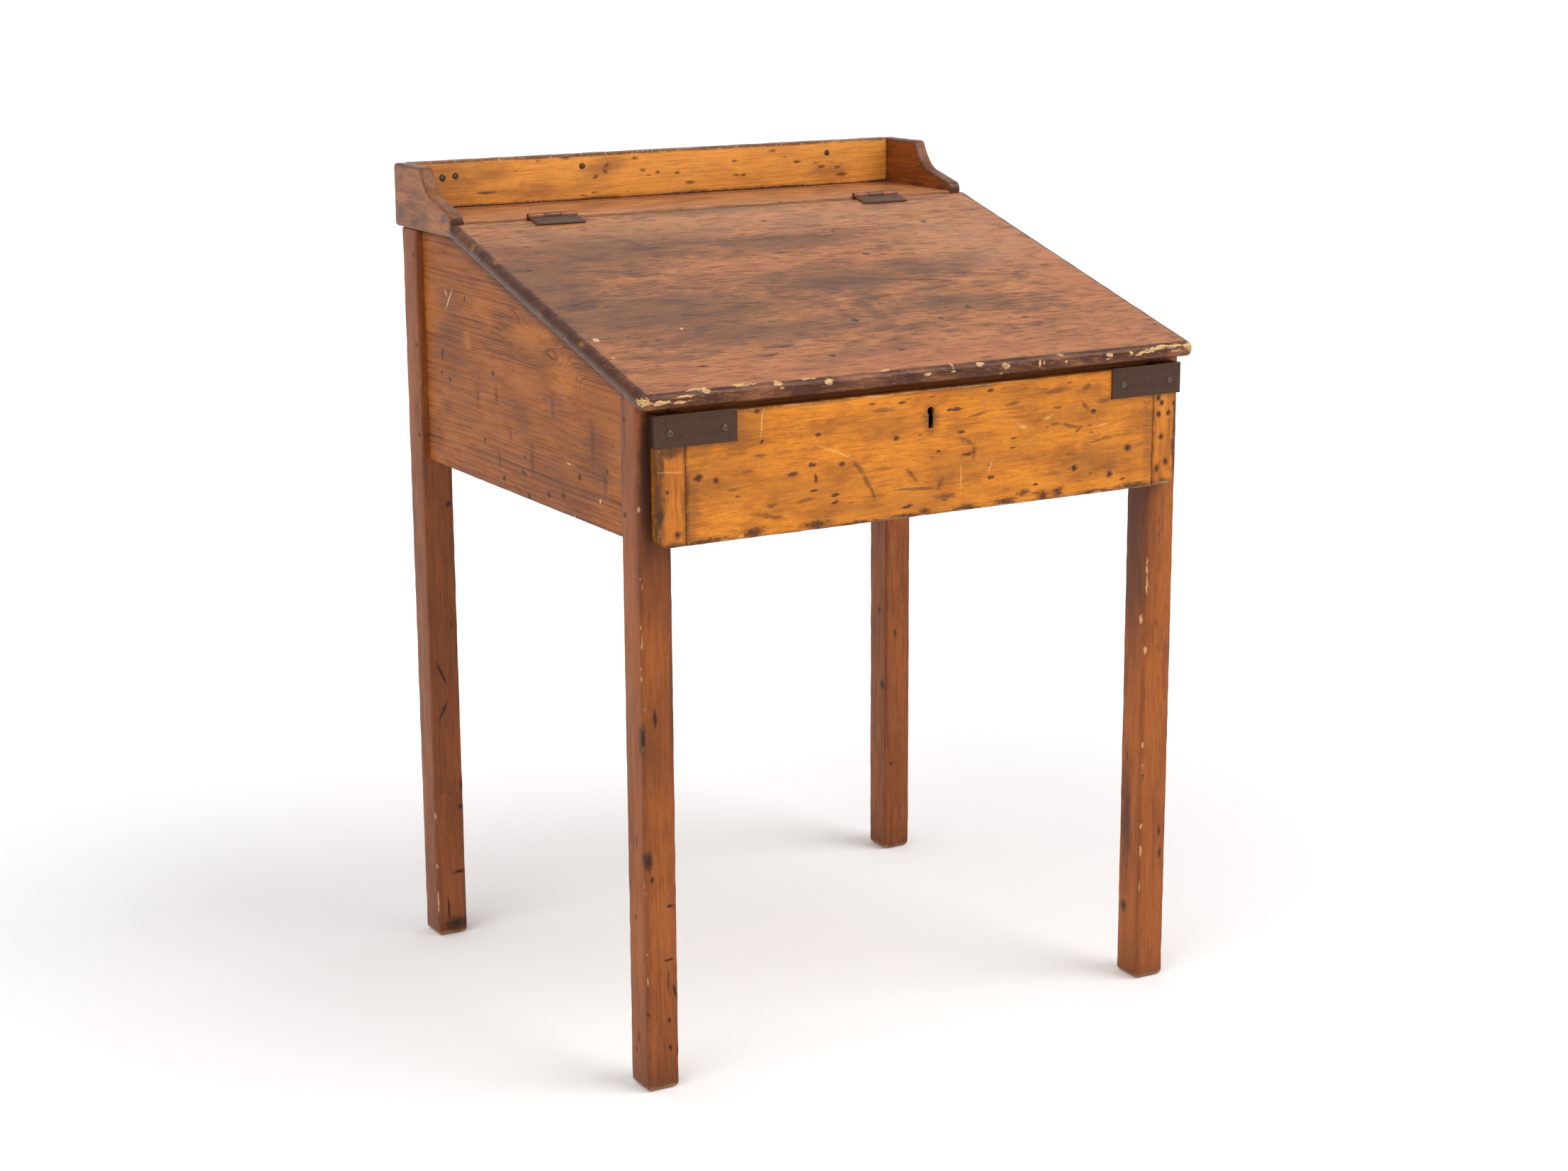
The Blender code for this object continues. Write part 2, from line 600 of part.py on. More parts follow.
def gallery_end_outline():
    """An end of the gallery from the side: level top, round shoulder, cove and a nose over the seam."""
    tip_y = shelf_front_y
    level_y = tip_y + SCROLL_LENGTH
    upright = math.pi / 2
    top_corner = (gallery_rear_y - GALLERY_TOP_CORNER, gallery_top_z - GALLERY_TOP_CORNER)
    foot_corner = (gallery_rear_y - GALLERY_FOOT_CORNER, shelf_bottom_z + GALLERY_FOOT_CORNER)
    outline = arc(foot_corner, GALLERY_FOOT_CORNER, -upright, 0.0)
    outline += arc(top_corner, GALLERY_TOP_CORNER, 0.0, upright)

    shoulder_centre = (level_y, gallery_top_z - SHOULDER_RADIUS)
    outline += arc(shoulder_centre, SHOULDER_RADIUS, upright, upright + SHOULDER_STEEPNESS)
    y, z = outline[-1]
    y -= SHOULDER_RUN * math.cos(SHOULDER_STEEPNESS)
    z -= SHOULDER_RUN * math.sin(SHOULDER_STEEPNESS)
    cove_centre = (
        y - COVE_RADIUS * math.sin(SHOULDER_STEEPNESS),
        z + COVE_RADIUS * math.cos(SHOULDER_STEEPNESS),
    )
    outline += arc(cove_centre, COVE_RADIUS, SHOULDER_STEEPNESS - upright, SCROLL_FALL - upright)

    y, z = outline[-1]
    nose_y = tip_y + NOSE_RADIUS * (1 - math.sin(SCROLL_FALL))
    nose_z = z - (y - nose_y) * math.tan(SCROLL_FALL)
    nose_centre = (tip_y + NOSE_RADIUS, nose_z - NOSE_RADIUS * math.cos(SCROLL_FALL))
    outline += arc(nose_centre, NOSE_RADIUS, upright + SCROLL_FALL, math.pi)
    outline.append((tip_y, shelf_bottom_z))
    return outline


def make_gallery(frame):
    for side, sign in SIDES:
        shape = bmesh.new()
        prism(shape, gallery_end_outline(), "X", sign * gallery_in_x, sign * gallery_out_x)
        piece(f"gallery_end_{side}", shape, frame, "red_pine", GALLERY_EASE)

    shape = bmesh.new()
    half = gallery_in_x - GAP
    ys = (gallery_rear_y - GALLERY_BACK_THICKNESS, gallery_rear_y)
    box(shape, (-half, half), ys, (shelf_top_z + GAP, gallery_top_z))
    piece("gallery_back", shape, frame, "amber_pine", BOARD_EASE)


def lid_rear_v(w):
    """The lid's back edge is plumb, so it leans in the lid's own frame."""
    return (w * math.sin(LID_SLOPE) - SEAM_GAP / 2) / math.cos(LID_SLOPE)


def round_edges(shape, edges, radius, steps):
    bmesh.ops.bevel(
        shape, geom=edges, offset=radius, segments=steps, profile=ROUND_PROFILE, affect="EDGES"
    )


def round_lid_edges(shape):
    """Rounds the front corners, then the top and the bottom edges along the front and the ends."""
    corners = [
        edge
        for edge in shape.edges
        if all(abs(point.co.y - lid_front_v) < SAME_PLACE for point in edge.verts)
        and abs(edge.verts[0].co.z - edge.verts[1].co.z) > SAME_PLACE
    ]
    round_edges(shape, corners, LID_CORNER, CORNER_STEPS)
    rounds = ((lid_top_w, LID_NOSING, NOSING_STEPS), (lid_bottom_w, LID_UNDER_ROUND, UNDER_ROUND_STEPS))
    for level, radius, steps in rounds:
        rear_v = lid_rear_v(level)
        rims = [
            edge
            for edge in shape.edges
            if all(abs(point.co.z - level) < SAME_PLACE for point in edge.verts)
            and not all(abs(point.co.y - rear_v) < SAME_PLACE for point in edge.verts)
        ]
        round_edges(shape, rims, radius, steps)


def make_lid(lid, holes):
    shape = bmesh.new()
    outline = [
        (lid_front_v, lid_top_w),
        (lid_rear_v(lid_top_w), lid_top_w),
        (lid_rear_v(lid_bottom_w), lid_bottom_w),
        (lid_front_v, lid_bottom_w),
    ]
    prism(shape, outline, "X", -lid_half, lid_half)
    round_lid_edges(shape)
    shape.transform(lid_frame)
    board = piece("lid_board", shape, lid, "dark_pine")

    notches = bmesh.new()
    for _, sign in SIDES:
        add_barrel_notch(notches, sign * HINGE_PLACE, 0.0, 0.0)
    notches.transform(lid_frame)
    combine(board, tool("lid_barrel_notches", notches, lid))
    combine(board, holes)


def make_battens(lid):
    """Two battens that keep the lid flat, up its slope and clear of the case."""
    span = (lid_front_v + BATTEN_FRONT_INSET, lid_rear_v(lid_bottom_w) - BATTEN_REAR_INSET)
    high_w = lid_bottom_w - GAP
    outer_x = panel_in_x - BATTEN_SIDE_GAP
    for side, sign in SIDES:
        shape = bmesh.new()
        xs = (sign * outer_x, sign * (outer_x - BATTEN_WIDTH))
        box(shape, xs, span, (high_w - BATTEN_THICKNESS, high_w))
        shape.transform(lid_frame)
        piece(f"lid_batten_{side}", shape, lid, "bare_pine", BOARD_EASE)


def knuckle_spans(middle_x):
    """The hinge barrel's knuckles along X, from left to right."""
    length = (HINGE_LENGTH - (KNUCKLES - 1) * KNUCKLE_GAP) / KNUCKLES
    starts = [middle_x - HINGE_LENGTH / 2 + index * (length + KNUCKLE_GAP) for index in range(KNUCKLES)]
    return [(start, start + length) for start in starts]


def knuckle_outline(neck_low, neck_high, reach):
    """A round knuckle with a neck along the first axis, down to minus the reach."""
    start = math.pi - math.asin(neck_high / BARREL_RADIUS)
    end = -math.pi - math.asin(neck_low / BARREL_RADIUS)
    outline = arc((0.0, 0.0), BARREL_RADIUS, start, end, ROUND_SIDES)
    return outline + [(-reach, neck_low), (-reach, neck_high)]


def shelf_leaf_low_z():
    return shelf_bottom_z + SHELF_LEAF_FOOT


def leaf_edge():
    """Distance from the pin to the edge of a leaf's plate, clear of the other leaf's knuckles."""
    return BARREL_RADIUS + BARREL_CLEARANCE


def lid_leaf_screws():
    """Places of the screws in the lid leaves, in their top faces."""
    face_w = lid_top_w + GAP + LEAF_THICKNESS
    middle_v = -(LID_LEAF_WIDTH + leaf_edge()) / 2
    spots = [
        sign * HINGE_PLACE + share * HINGE_LENGTH for _, sign in SIDES for share in LID_LEAF_SCREW_SHARES
    ]
    return [lid_frame @ Matrix.Translation((x, middle_v, face_w)) for x in spots]


def shelf_leaf_screws():
    """Places of the screws in the shelf leaves, in their front faces."""
    middle_z = (shelf_leaf_low_z() + hinge_z - leaf_edge()) / 2
    spots = [
        sign * HINGE_PLACE + share * HINGE_LENGTH for _, sign in SIDES for share in SHELF_LEAF_SCREW_SHARES
    ]
    return [Matrix.Translation((x, shelf_front_y, middle_z)) @ OUT_FRONT for x in spots]


def bore_tool(name, middle_x, place, parent):
    shape = bmesh.new()
    half = HINGE_LENGTH / 2 + OVERCUT
    outline = arc((0.0, 0.0), PIN_RADIUS + GAP, 0.0, 2 * math.pi, ROUND_SIDES)[:-1]
    prism(shape, outline, "X", middle_x - half, middle_x + half)
    shape.transform(place)
    return tool(name, shape, parent)


def make_lid_leaf(side, middle_x, lid, screw_holes):
    low = lid_top_w + GAP
    high = low + LEAF_THICKNESS
    half = HINGE_LENGTH / 2
    shape = bmesh.new()
    box(shape, (middle_x - half, middle_x + half), (-LID_LEAF_WIDTH, -leaf_edge()), (low, high))
    shape.transform(lid_frame)
    leaf = piece(f"hinge_lid_leaf_{side}", shape, lid, "brown_steel")
    knuckles = bmesh.new()
    neck = knuckle_outline(low, high, leaf_edge() + LEAF_THICKNESS)
    for start, end in knuckle_spans(middle_x)[0::2]:
        prism(knuckles, neck, "X", start, end)
    knuckles.transform(lid_frame)
    combine(leaf, tool(f"lid_knuckles_{side}", knuckles, lid), "UNION")
    combine(leaf, bore_tool(f"lid_bore_{side}", middle_x, lid_frame, lid))
    combine(leaf, screw_holes)


def make_shelf_leaf(side, middle_x, frame, screw_holes):
    low = shelf_front_y - seam_y
    high = low + LEAF_THICKNESS
    half = HINGE_LENGTH / 2
    ys = (shelf_front_y, shelf_front_y + LEAF_THICKNESS)
    shape = bmesh.new()
    box(shape, (middle_x - half, middle_x + half), ys, (shelf_leaf_low_z(), hinge_z - leaf_edge()))
    leaf = piece(f"hinge_shelf_leaf_{side}", shape, frame, "brown_steel")
    knuckles = bmesh.new()
    neck = [(y, z) for z, y in knuckle_outline(low, high, leaf_edge() + LEAF_THICKNESS)]
    for start, end in knuckle_spans(middle_x)[1::2]:
        prism(knuckles, neck, "X", start, end)
    pin_place = Matrix.Translation((0, seam_y, hinge_z))
    knuckles.transform(pin_place)
    combine(leaf, tool(f"shelf_knuckles_{side}", knuckles, frame), "UNION")
    combine(leaf, bore_tool(f"shelf_bore_{side}", middle_x, pin_place, frame))
    combine(leaf, screw_holes)


def make_hinges(frame, lid, shelf_holes, lid_holes):
    for side, sign in SIDES:
        middle_x = sign * HINGE_PLACE
        make_lid_leaf(side, middle_x, lid, lid_holes)
        make_shelf_leaf(side, middle_x, frame, shelf_holes)
        pin = bmesh.new()
        along = Matrix.Translation((middle_x, seam_y, hinge_z)) @ Matrix.Rotation(math.pi / 2, 4, "Y")
        half = HINGE_LENGTH / 2
        turned(pin, [(PIN_RADIUS, -half), (PIN_RADIUS, half)], FASTENER_SIDES, along)
        piece(f"hinge_pin_{side}", pin, frame, "brown_steel")
    fasteners("hinge_lid_screw", sunk_profile(FLAT_SCREW), lid_leaf_screws(), lid, "brown_steel")
    fasteners("hinge_shelf_screw", sunk_profile(FLAT_SCREW), shelf_leaf_screws(), frame, "brown_steel")


def clamp_nails():
    """Places of the nails that hold the clamps on the drawer front's tongues."""
    places = []
    for sign, shares in ((-1, LEFT_CLAMP_NAIL_SHARES), (1, RIGHT_CLAMP_NAIL_SHARES)):
        x = sign * (clamp_joint_x + CLAMP_TONGUE / 2)
        heights = [drawer_bottom_z + share * DRAWER_FRONT_HEIGHT for share in shares]
        places += [Matrix.Translation((x, drawer_face_y, z)) @ OUT_FRONT for z in heights]
    return places


def strap_screws():
    """Places of the screws in the straps' front faces."""
    z = drawer_top_z - STRAP_HEIGHT * (1 - STRAP_SCREW_SHARE)
    y = drawer_face_y - GAP - STRAP_THICKNESS
    outer_x = drawer_half - STRAP_SCREW_INSET
    spots = [sign * x for _, sign in SIDES for x in (outer_x, outer_x - STRAP_SCREW_SPACING)]
    return [Matrix.Translation((x, y, z)) @ OUT_FRONT for x in spots]


def lock_screws():
    """Places of the screws in the back of the lock, one at each end."""
    y = drawer_rebate_y + GAP + LOCK_THICKNESS
    half = LOCK_WIDTH / 2 - LOCK_SCREW_INSET
    z = (lock_bottom_z + lock_top_z) / 2
    return [Matrix.Translation((sign * half, y, z)) @ OUT_BACK for _, sign in SIDES]


def keyhole_tool(parent):
    """The keyhole, from the drawer's face to the lock's bolt."""
    low_z = keyhole_z - KEYHOLE_SLOT_LENGTH
    half = KEYHOLE_SLOT_WIDTH / 2
    spread = math.asin(half / KEYHOLE_RADIUS)
    down = -math.pi / 2
    outline = arc((0.0, keyhole_z), KEYHOLE_RADIUS, down + spread, down - spread + 2 * math.pi, ROUND_SIDES)
    outline += [(-half, low_z), (half, low_z)]
    shape = bmesh.new()
    prism(shape, outline, "Y", drawer_face_y - OVERCUT, bolt_y)
    return tool("keyhole", shape, parent)


def make_drawer_front(drawer, keyhole, screw_holes):
    dadoes = bmesh.new()
    for _, sign in SIDES:
        dado_xs = (sign * (side_in_x - GAP), sign * (side_out_x + GAP))
        dado_ys = (drawer_rebate_y - DRAWER_SIDE_DADO, drawer_rebate_y + OVERCUT)
        box(dadoes, dado_xs, dado_ys, (side_bottom_z - GAP, side_top_z + GAP))
    dado_tool = tool("drawer_dadoes", dadoes, drawer)
    nail_tool = holes_tool("clamp_nail_holes", shank_profile(NAIL), clamp_nails(), drawer)
    faces_y = (drawer_face_y, drawer_rebate_y)
    middle_y = (drawer_face_y + drawer_rebate_y) / 2
    tongue_zs = (drawer_bottom_z + CLAMP_TONGUE_STOP, drawer_top_z - CLAMP_TONGUE_STOP)

    shape = bmesh.new()
    half = clamp_joint_x - GAP / 2
    box(shape, (-half, half), faces_y, (drawer_bottom_z, drawer_top_z))
    board = piece("drawer_front", shape, drawer, "amber_pine", BOARD_EASE)
    tongues = bmesh.new()
    tongue_half = CLAMP_TONGUE_THICKNESS / 2
    for _, sign in SIDES:
        tongue_xs = (sign * (half - CLAMP_TONGUE), sign * (clamp_joint_x + CLAMP_TONGUE))
        box(tongues, tongue_xs, (middle_y - tongue_half, middle_y + tongue_half), tongue_zs)
    combine(board, tool("clamp_tongues", tongues, drawer), "UNION")
    groove = bmesh.new()
    inset = side_in_x - DRAWER_BOTTOM_INSET + GAP
    groove_ys = (drawer_rebate_y - DRAWER_BOTTOM_GROOVE, drawer_rebate_y + OVERCUT)
    box(groove, (-inset, inset), groove_ys, (drawer_bottom_low_z - GAP, drawer_bottom_high_z + GAP))
    groove_tool = tool("drawer_bottom_groove", groove, drawer)
    for helper in (groove_tool, dado_tool, nail_tool, keyhole, *screw_holes):
        combine(board, helper)

    groove_half = tongue_half + GAP
    for side, sign in SIDES:
        inner = sign * (clamp_joint_x + GAP / 2)
        outer = sign * drawer_half
        outline = [(inner, drawer_bottom_z), (inner, drawer_top_z), (outer, drawer_top_z)]
        outline += rounded_lower_corner(drawer_half, drawer_bottom_z, sign)
        shape = bmesh.new()
        prism(shape, outline, "Y", *faces_y)
        clamp = piece(f"drawer_clamp_{side}", shape, drawer, "amber_pine", BOARD_EASE)
        socket = bmesh.new()
        socket_xs = (inner - sign * OVERCUT, sign * (clamp_joint_x + CLAMP_TONGUE + GAP))
        socket_zs = (tongue_zs[0] - GAP, tongue_zs[1] + GAP)
        box(socket, socket_xs, (middle_y - groove_half, middle_y + groove_half), socket_zs)
        socket_tool = tool(f"clamp_socket_{side}", socket, drawer)
        for helper in (socket_tool, dado_tool, nail_tool, *screw_holes):
            combine(clamp, helper)
    fasteners("clamp_nail", raised_profile(NAIL), clamp_nails(), drawer, "dark_iron")


def make_drawer_box(drawer):
    rear = drawer_rear_y
    grooves = bmesh.new()
    bottom_half = side_in_x + DRAWER_BOTTOM_GROOVE
    groove_zs = (drawer_bottom_low_z - GAP, drawer_bottom_high_z + GAP)
    groove_ys = (drawer_rebate_y - DRAWER_SIDE_DADO - OVERCUT, rear + OVERCUT)
    box(grooves, (-bottom_half, bottom_half), groove_ys, groove_zs)
    groove_tool = tool("drawer_side_grooves", grooves, drawer)
    for side, sign in SIDES:
        shape = bmesh.new()
        ys = (drawer_rebate_y - DRAWER_SIDE_DADO + GAP, rear)
        box(shape, (sign * side_in_x, sign * side_out_x), ys, (side_bottom_z, side_top_z))
        combine(piece(f"drawer_side_{side}", shape, drawer, "bare_pine", BOARD_EASE), groove_tool)

    shape = bmesh.new()
    half = side_in_x - GAP
    zs = (drawer_bottom_high_z + GAP, side_top_z - DRAWER_BACK_DROP)
    box(shape, (-half, half), (rear - DRAWER_BACK_THICKNESS, rear), zs)
    piece("drawer_back", shape, drawer, "bare_pine", BOARD_EASE)

    wide = bottom_half - GAP
    narrow = side_in_x - DRAWER_BOTTOM_INSET
    front = drawer_rebate_y + GAP
    tongue = drawer_rebate_y - DRAWER_BOTTOM_GROOVE + GAP
    outline = [(-narrow, tongue), (narrow, tongue), (narrow, front), (wide, front)]
    outline += [(wide, rear), (-wide, rear), (-wide, front), (-narrow, front)]
    shape = bmesh.new()
    prism(shape, outline, "Z", drawer_bottom_low_z, drawer_bottom_high_z)
    piece("drawer_bottom", shape, drawer, "bare_pine")


def make_straps(drawer, holes):
    outer_x = drawer_half + GAP
    inner_x = drawer_half - STRAP_LENGTH
    wood_y = drawer_face_y - GAP
    wood_z = drawer_top_z + GAP
    low_z = drawer_top_z - STRAP_HEIGHT
    for side, sign in SIDES:
        shape = bmesh.new()
        xs = (sign * inner_x, sign * (outer_x + STRAP_THICKNESS))
        box(shape, xs, (wood_y - STRAP_THICKNESS, drawer_rebate_y), (low_z, wood_z + STRAP_THICKNESS))
        strap = piece(f"corner_strap_{side}", shape, drawer, "dark_iron")
        corner = bmesh.new()
        corner_ys = (wood_y, drawer_rebate_y + OVERCUT)
        corner_xs = (sign * (inner_x - OVERCUT), sign * outer_x)
        box(corner, corner_xs, corner_ys, (low_z - OVERCUT, wood_z))
        combine(strap, tool(f"strap_corner_{side}", corner, drawer))
        relief = bmesh.new()
        relief_xs = (sign * (inner_x - OVERCUT), sign * (drawer_half - STRAP_TOP_LENGTH))
        box(relief, relief_xs, corner_ys, (low_z - OVERCUT, wood_z + STRAP_THICKNESS + OVERCUT))
        combine(strap, tool(f"strap_relief_{side}", relief, drawer))
        combine(strap, holes)
    fasteners("strap_screw", raised_profile(STRAP_SCREW), strap_screws(), drawer, "dark_iron")


def make_lock(drawer, bolt, keyhole, holes):
    shape = bmesh.new()
    half = LOCK_WIDTH / 2
    front = drawer_rebate_y + GAP
    box(shape, (-half, half), (front, front + LOCK_THICKNESS), (lock_bottom_z, lock_top_z))
    case = piece("lock_case", shape, drawer, "dark_iron")
    room = bmesh.new()
    room_x = BOLT_WIDTH / 2 + GAP
    room_y = BOLT_THICKNESS / 2 + GAP
    room_zs = (bolt_bottom_z - GAP, lock_top_z + OVERCUT)
    box(room, (-room_x, room_x), (bolt_y - room_y, bolt_y + room_y), room_zs)
    for helper in (tool("bolt_room", room, drawer), keyhole, holes):
        combine(case, helper)
    fasteners("lock_screw", sunk_profile(LOCK_SCREW), lock_screws(), drawer, "dark_iron")

    outer = BOLT_WIDTH / 2
    inner = outer - BOLT_LEG_WIDTH
    notch_z = keyhole_z + KEYHOLE_RADIUS + KEY_CLEARANCE
    outline = [(-outer, bolt_bottom_z), (-outer, bolt_top_z), (outer, bolt_top_z), (outer, bolt_bottom_z)]
    outline += [(inner, bolt_bottom_z), (inner, notch_z), (-inner, notch_z), (-inner, bolt_bottom_z)]
    shape = bmesh.new()
    prism(shape, outline, "Y", bolt_y - BOLT_THICKNESS / 2, bolt_y + BOLT_THICKNESS / 2)
    piece("lock_bolt", shape, bolt, "brown_steel")


def make_desk():
    clear_scene()
    frame = pivot("desk_frame", (0, 0, 0))
    lid = pivot("lid_axis", (0, seam_y, hinge_z), frame)
    drawer = pivot("drawer_slide", (0, drawer_rebate_y, side_bottom_z), frame)
    bolt = pivot("bolt_slide", (0, bolt_y, bolt_top_z), drawer)

    rest_slope = slope_tool("rest_slope", LID_REST_GAP, frame)
    make_legs(frame)
    make_side_panels(frame, rest_slope)
    make_back_panel(frame)
    make_rails(frame, rest_slope)
    make_drawer_guidance(frame)
    make_floor(frame)
    leaf_hole = sunk_profile(FLAT_SCREW, GAP)
    shelf_holes = holes_tool("shelf_leaf_holes", leaf_hole, shelf_leaf_screws(), frame)
    lid_holes = holes_tool("lid_leaf_holes", leaf_hole, lid_leaf_screws(), lid)
    make_shelf(frame, shelf_holes)
    make_gallery(frame)
    make_lid(lid, lid_holes)
    make_battens(lid)
    make_hinges(frame, lid, shelf_holes, lid_holes)
    keyhole = keyhole_tool(drawer)
    strap_holes = holes_tool("strap_screw_holes", shank_profile(STRAP_SCREW), strap_screws(), drawer)
    lock_holes = holes_tool("lock_screw_holes", sunk_profile(LOCK_SCREW, GAP), lock_screws(), drawer)
    make_drawer_front(drawer, keyhole, (strap_holes, lock_holes))
    make_drawer_box(drawer)
    make_straps(drawer, strap_holes)
    make_lock(drawer, bolt, keyhole, lock_holes)


make_desk()
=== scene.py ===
import json
import math

import bmesh
import bpy
from mathutils import Matrix, Vector, noise
from mathutils.geometry import intersect_line_line


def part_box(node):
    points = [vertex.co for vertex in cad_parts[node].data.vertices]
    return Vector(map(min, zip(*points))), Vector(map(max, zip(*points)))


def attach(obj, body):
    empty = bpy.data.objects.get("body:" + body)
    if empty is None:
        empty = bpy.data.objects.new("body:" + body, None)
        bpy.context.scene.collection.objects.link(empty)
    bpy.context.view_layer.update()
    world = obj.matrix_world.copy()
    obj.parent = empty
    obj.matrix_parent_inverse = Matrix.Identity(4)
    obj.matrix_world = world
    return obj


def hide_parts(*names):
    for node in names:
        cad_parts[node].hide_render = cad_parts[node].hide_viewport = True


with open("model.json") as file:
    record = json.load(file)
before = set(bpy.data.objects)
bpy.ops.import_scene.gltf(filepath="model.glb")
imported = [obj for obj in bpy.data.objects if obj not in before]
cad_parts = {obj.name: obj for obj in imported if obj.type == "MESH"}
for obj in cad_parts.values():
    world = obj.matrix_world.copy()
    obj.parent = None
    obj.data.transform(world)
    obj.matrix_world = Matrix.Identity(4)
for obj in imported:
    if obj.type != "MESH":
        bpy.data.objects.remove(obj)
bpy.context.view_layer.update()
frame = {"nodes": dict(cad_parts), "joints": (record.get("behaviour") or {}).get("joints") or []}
nodes = frame["nodes"]
scene = bpy.context.scene
scene.view_settings.view_transform = "Standard"
print("frame loaded:", len(nodes), "nodes")


# small helpers

def linear(hexCode):  # sRGB hex to linear colour
    parts = [int(hexCode[k:k + 2], 16) / 255 for k in (1, 3, 5)]
    return [c / 12.92 if c <= 0.04045 else ((c + 0.055) / 1.055) ** 2.4 for c in parts] + [1.0]


def addNode(tree, kind, inputs=None, **settings):
    node = tree.nodes.new(kind)
    for name, value in settings.items():
        setattr(node, name, value)
    for key, value in (inputs or {}).items():
        if isinstance(value, bpy.types.NodeSocket):
            tree.links.new(value, node.inputs[key])
        else:
            node.inputs[key].default_value = value
    return node


# camera at the photograph's viewing angle

view = {
    "place": (-1.6581, -2.8564, 1.2472),
    "yaw": 30.11, "pitch": 13.42, "roll": -0.31,  # degrees
    "lens": 65.80, "sensor": 36.0,  # mm
}


def placeCamera():
    yaw, pitch, roll = (math.radians(view[key]) for key in ("yaw", "pitch", "roll"))
    forward = Vector((math.sin(yaw) * math.cos(pitch), math.cos(yaw) * math.cos(pitch), -math.sin(pitch)))
    right = Vector((math.cos(yaw), -math.sin(yaw), 0))
    up = right.cross(forward)
    across = right * math.cos(roll) + up * math.sin(roll)
    upward = up * math.cos(roll) - right * math.sin(roll)
    turn = Matrix((across, upward, -forward)).transposed()
    data = bpy.data.cameras.new("photoCamera")
    data.sensor_fit, data.sensor_width, data.lens = "HORIZONTAL", view["sensor"], view["lens"]
    data.clip_end = 500
    camera = bpy.data.objects.new("photoCamera", data)
    camera.matrix_world = Matrix.Translation(view["place"]) @ turn.to_4x4()
    scene.collection.objects.link(camera)
    scene.camera = camera


placeCamera()

# white studio: a pale floor, even white surroundings and two broad soft lamps

studio = {
    "floorSize": 120.0, "floorColour": "#f7f6f6",
    "surround": 0.70,
    "lamps": {  # where each stands, seen from the desk; strength; how broad, in degrees
        "frontRightLamp": ((0.55, -0.60, 0.90), 1.35, 42),
        "frontLeftLamp": ((-0.80, -0.45, 0.85), 0.90, 48),
    },
}


def makeStudio():
    world = bpy.data.worlds.new("whiteStudio")
    world.use_nodes = True
    world.node_tree.nodes["Background"].inputs["Color"].default_value = (1, 1, 1, 1)
    world.node_tree.nodes["Background"].inputs["Strength"].default_value = studio["surround"]
    scene.world = world
    for name, (stand, strength, breadth) in studio["lamps"].items():
        data = bpy.data.lights.new(name, "SUN")
        data.energy, data.angle = strength, math.radians(breadth)
        lamp = bpy.data.objects.new(name, data)
        lamp.rotation_mode = "QUATERNION"
        lamp.rotation_quaternion = Vector(stand).to_track_quat("Z", "Y")
        scene.collection.objects.link(lamp)
    half = studio["floorSize"] / 2
    mesh = bpy.data.meshes.new("floor")
    mesh.from_pydata([(-half, -half, 0), (half, -half, 0), (half, half, 0), (-half, half, 0)], [],
                     [(0, 1, 2, 3)])
    paper = bpy.data.materials.new("matteBackgroundPaper")  # no sheen, nearly white
    paper.use_nodes = True
    shader = paper.node_tree.nodes["Principled BSDF"]
    shader.inputs["Base Color"].default_value = linear(studio["floorColour"])
    shader.inputs["Roughness"].default_value = 0.95
    shader.inputs["Specular IOR Level"].default_value = 0.0
    mesh.materials.append(paper)
    floor = bpy.data.objects.new("floor", mesh)
    scene.collection.objects.link(floor)


makeStudio()
print("studio ready")


# wood: one builder, fed by a dictionary for each board

grainTurn = {"X": (0, 0, 0), "Y": (0, 0, -math.pi / 2), "Z": (0, math.pi / 2, 0)}  # brings the grain to X
planeAxes = {"XZ": (0, 2, 1), "YZ": (1, 2, 0), "XY": (0, 1, 2)}


def nearestMark(tree, place, plane, marks, depth=(0, 1e5)):
    # how far a point is from the nearest mark, 1 at the mark's rim and 3 at most
    # a mark is (across, up, half length, half width, turn in degrees), and depth is where it lies
    # through the board and its reach, mm
    first, second, through = planeAxes[plane]
    nearest = None
    for across, up, halfLong, halfWide, turn in marks:
        centre, size, angles = [0, 0, 0], [0, 0, 0], [0, 0, 0]
        centre[first], centre[second], centre[through] = across / 1000, up / 1000, depth[0] / 1000
        size[first], size[second], size[through] = 0.003 * halfLong, 0.003 * halfWide, 0.003 * depth[1]
        angles[through] = math.radians(-turn if plane == "XZ" else turn)
        local = addNode(tree, "ShaderNodeMapping", {
            "Vector": place, "Location": centre, "Rotation": angles, "Scale": size}, vector_type="TEXTURE")
        near = addNode(tree, "ShaderNodeTexGradient", {0: local.outputs[0]},
                       gradient_type="SPHERICAL").outputs[1]
        if nearest is None:
            nearest = near
        else:
            nearest = addNode(tree, "ShaderNodeMath", {0: nearest, 1: near}, operation="MAXIMUM").outputs[0]
    return addNode(tree, "ShaderNodeMath", {0: nearest, 1: -3.0, 2: 3.0}, operation="MULTIPLY_ADD").outputs[0]


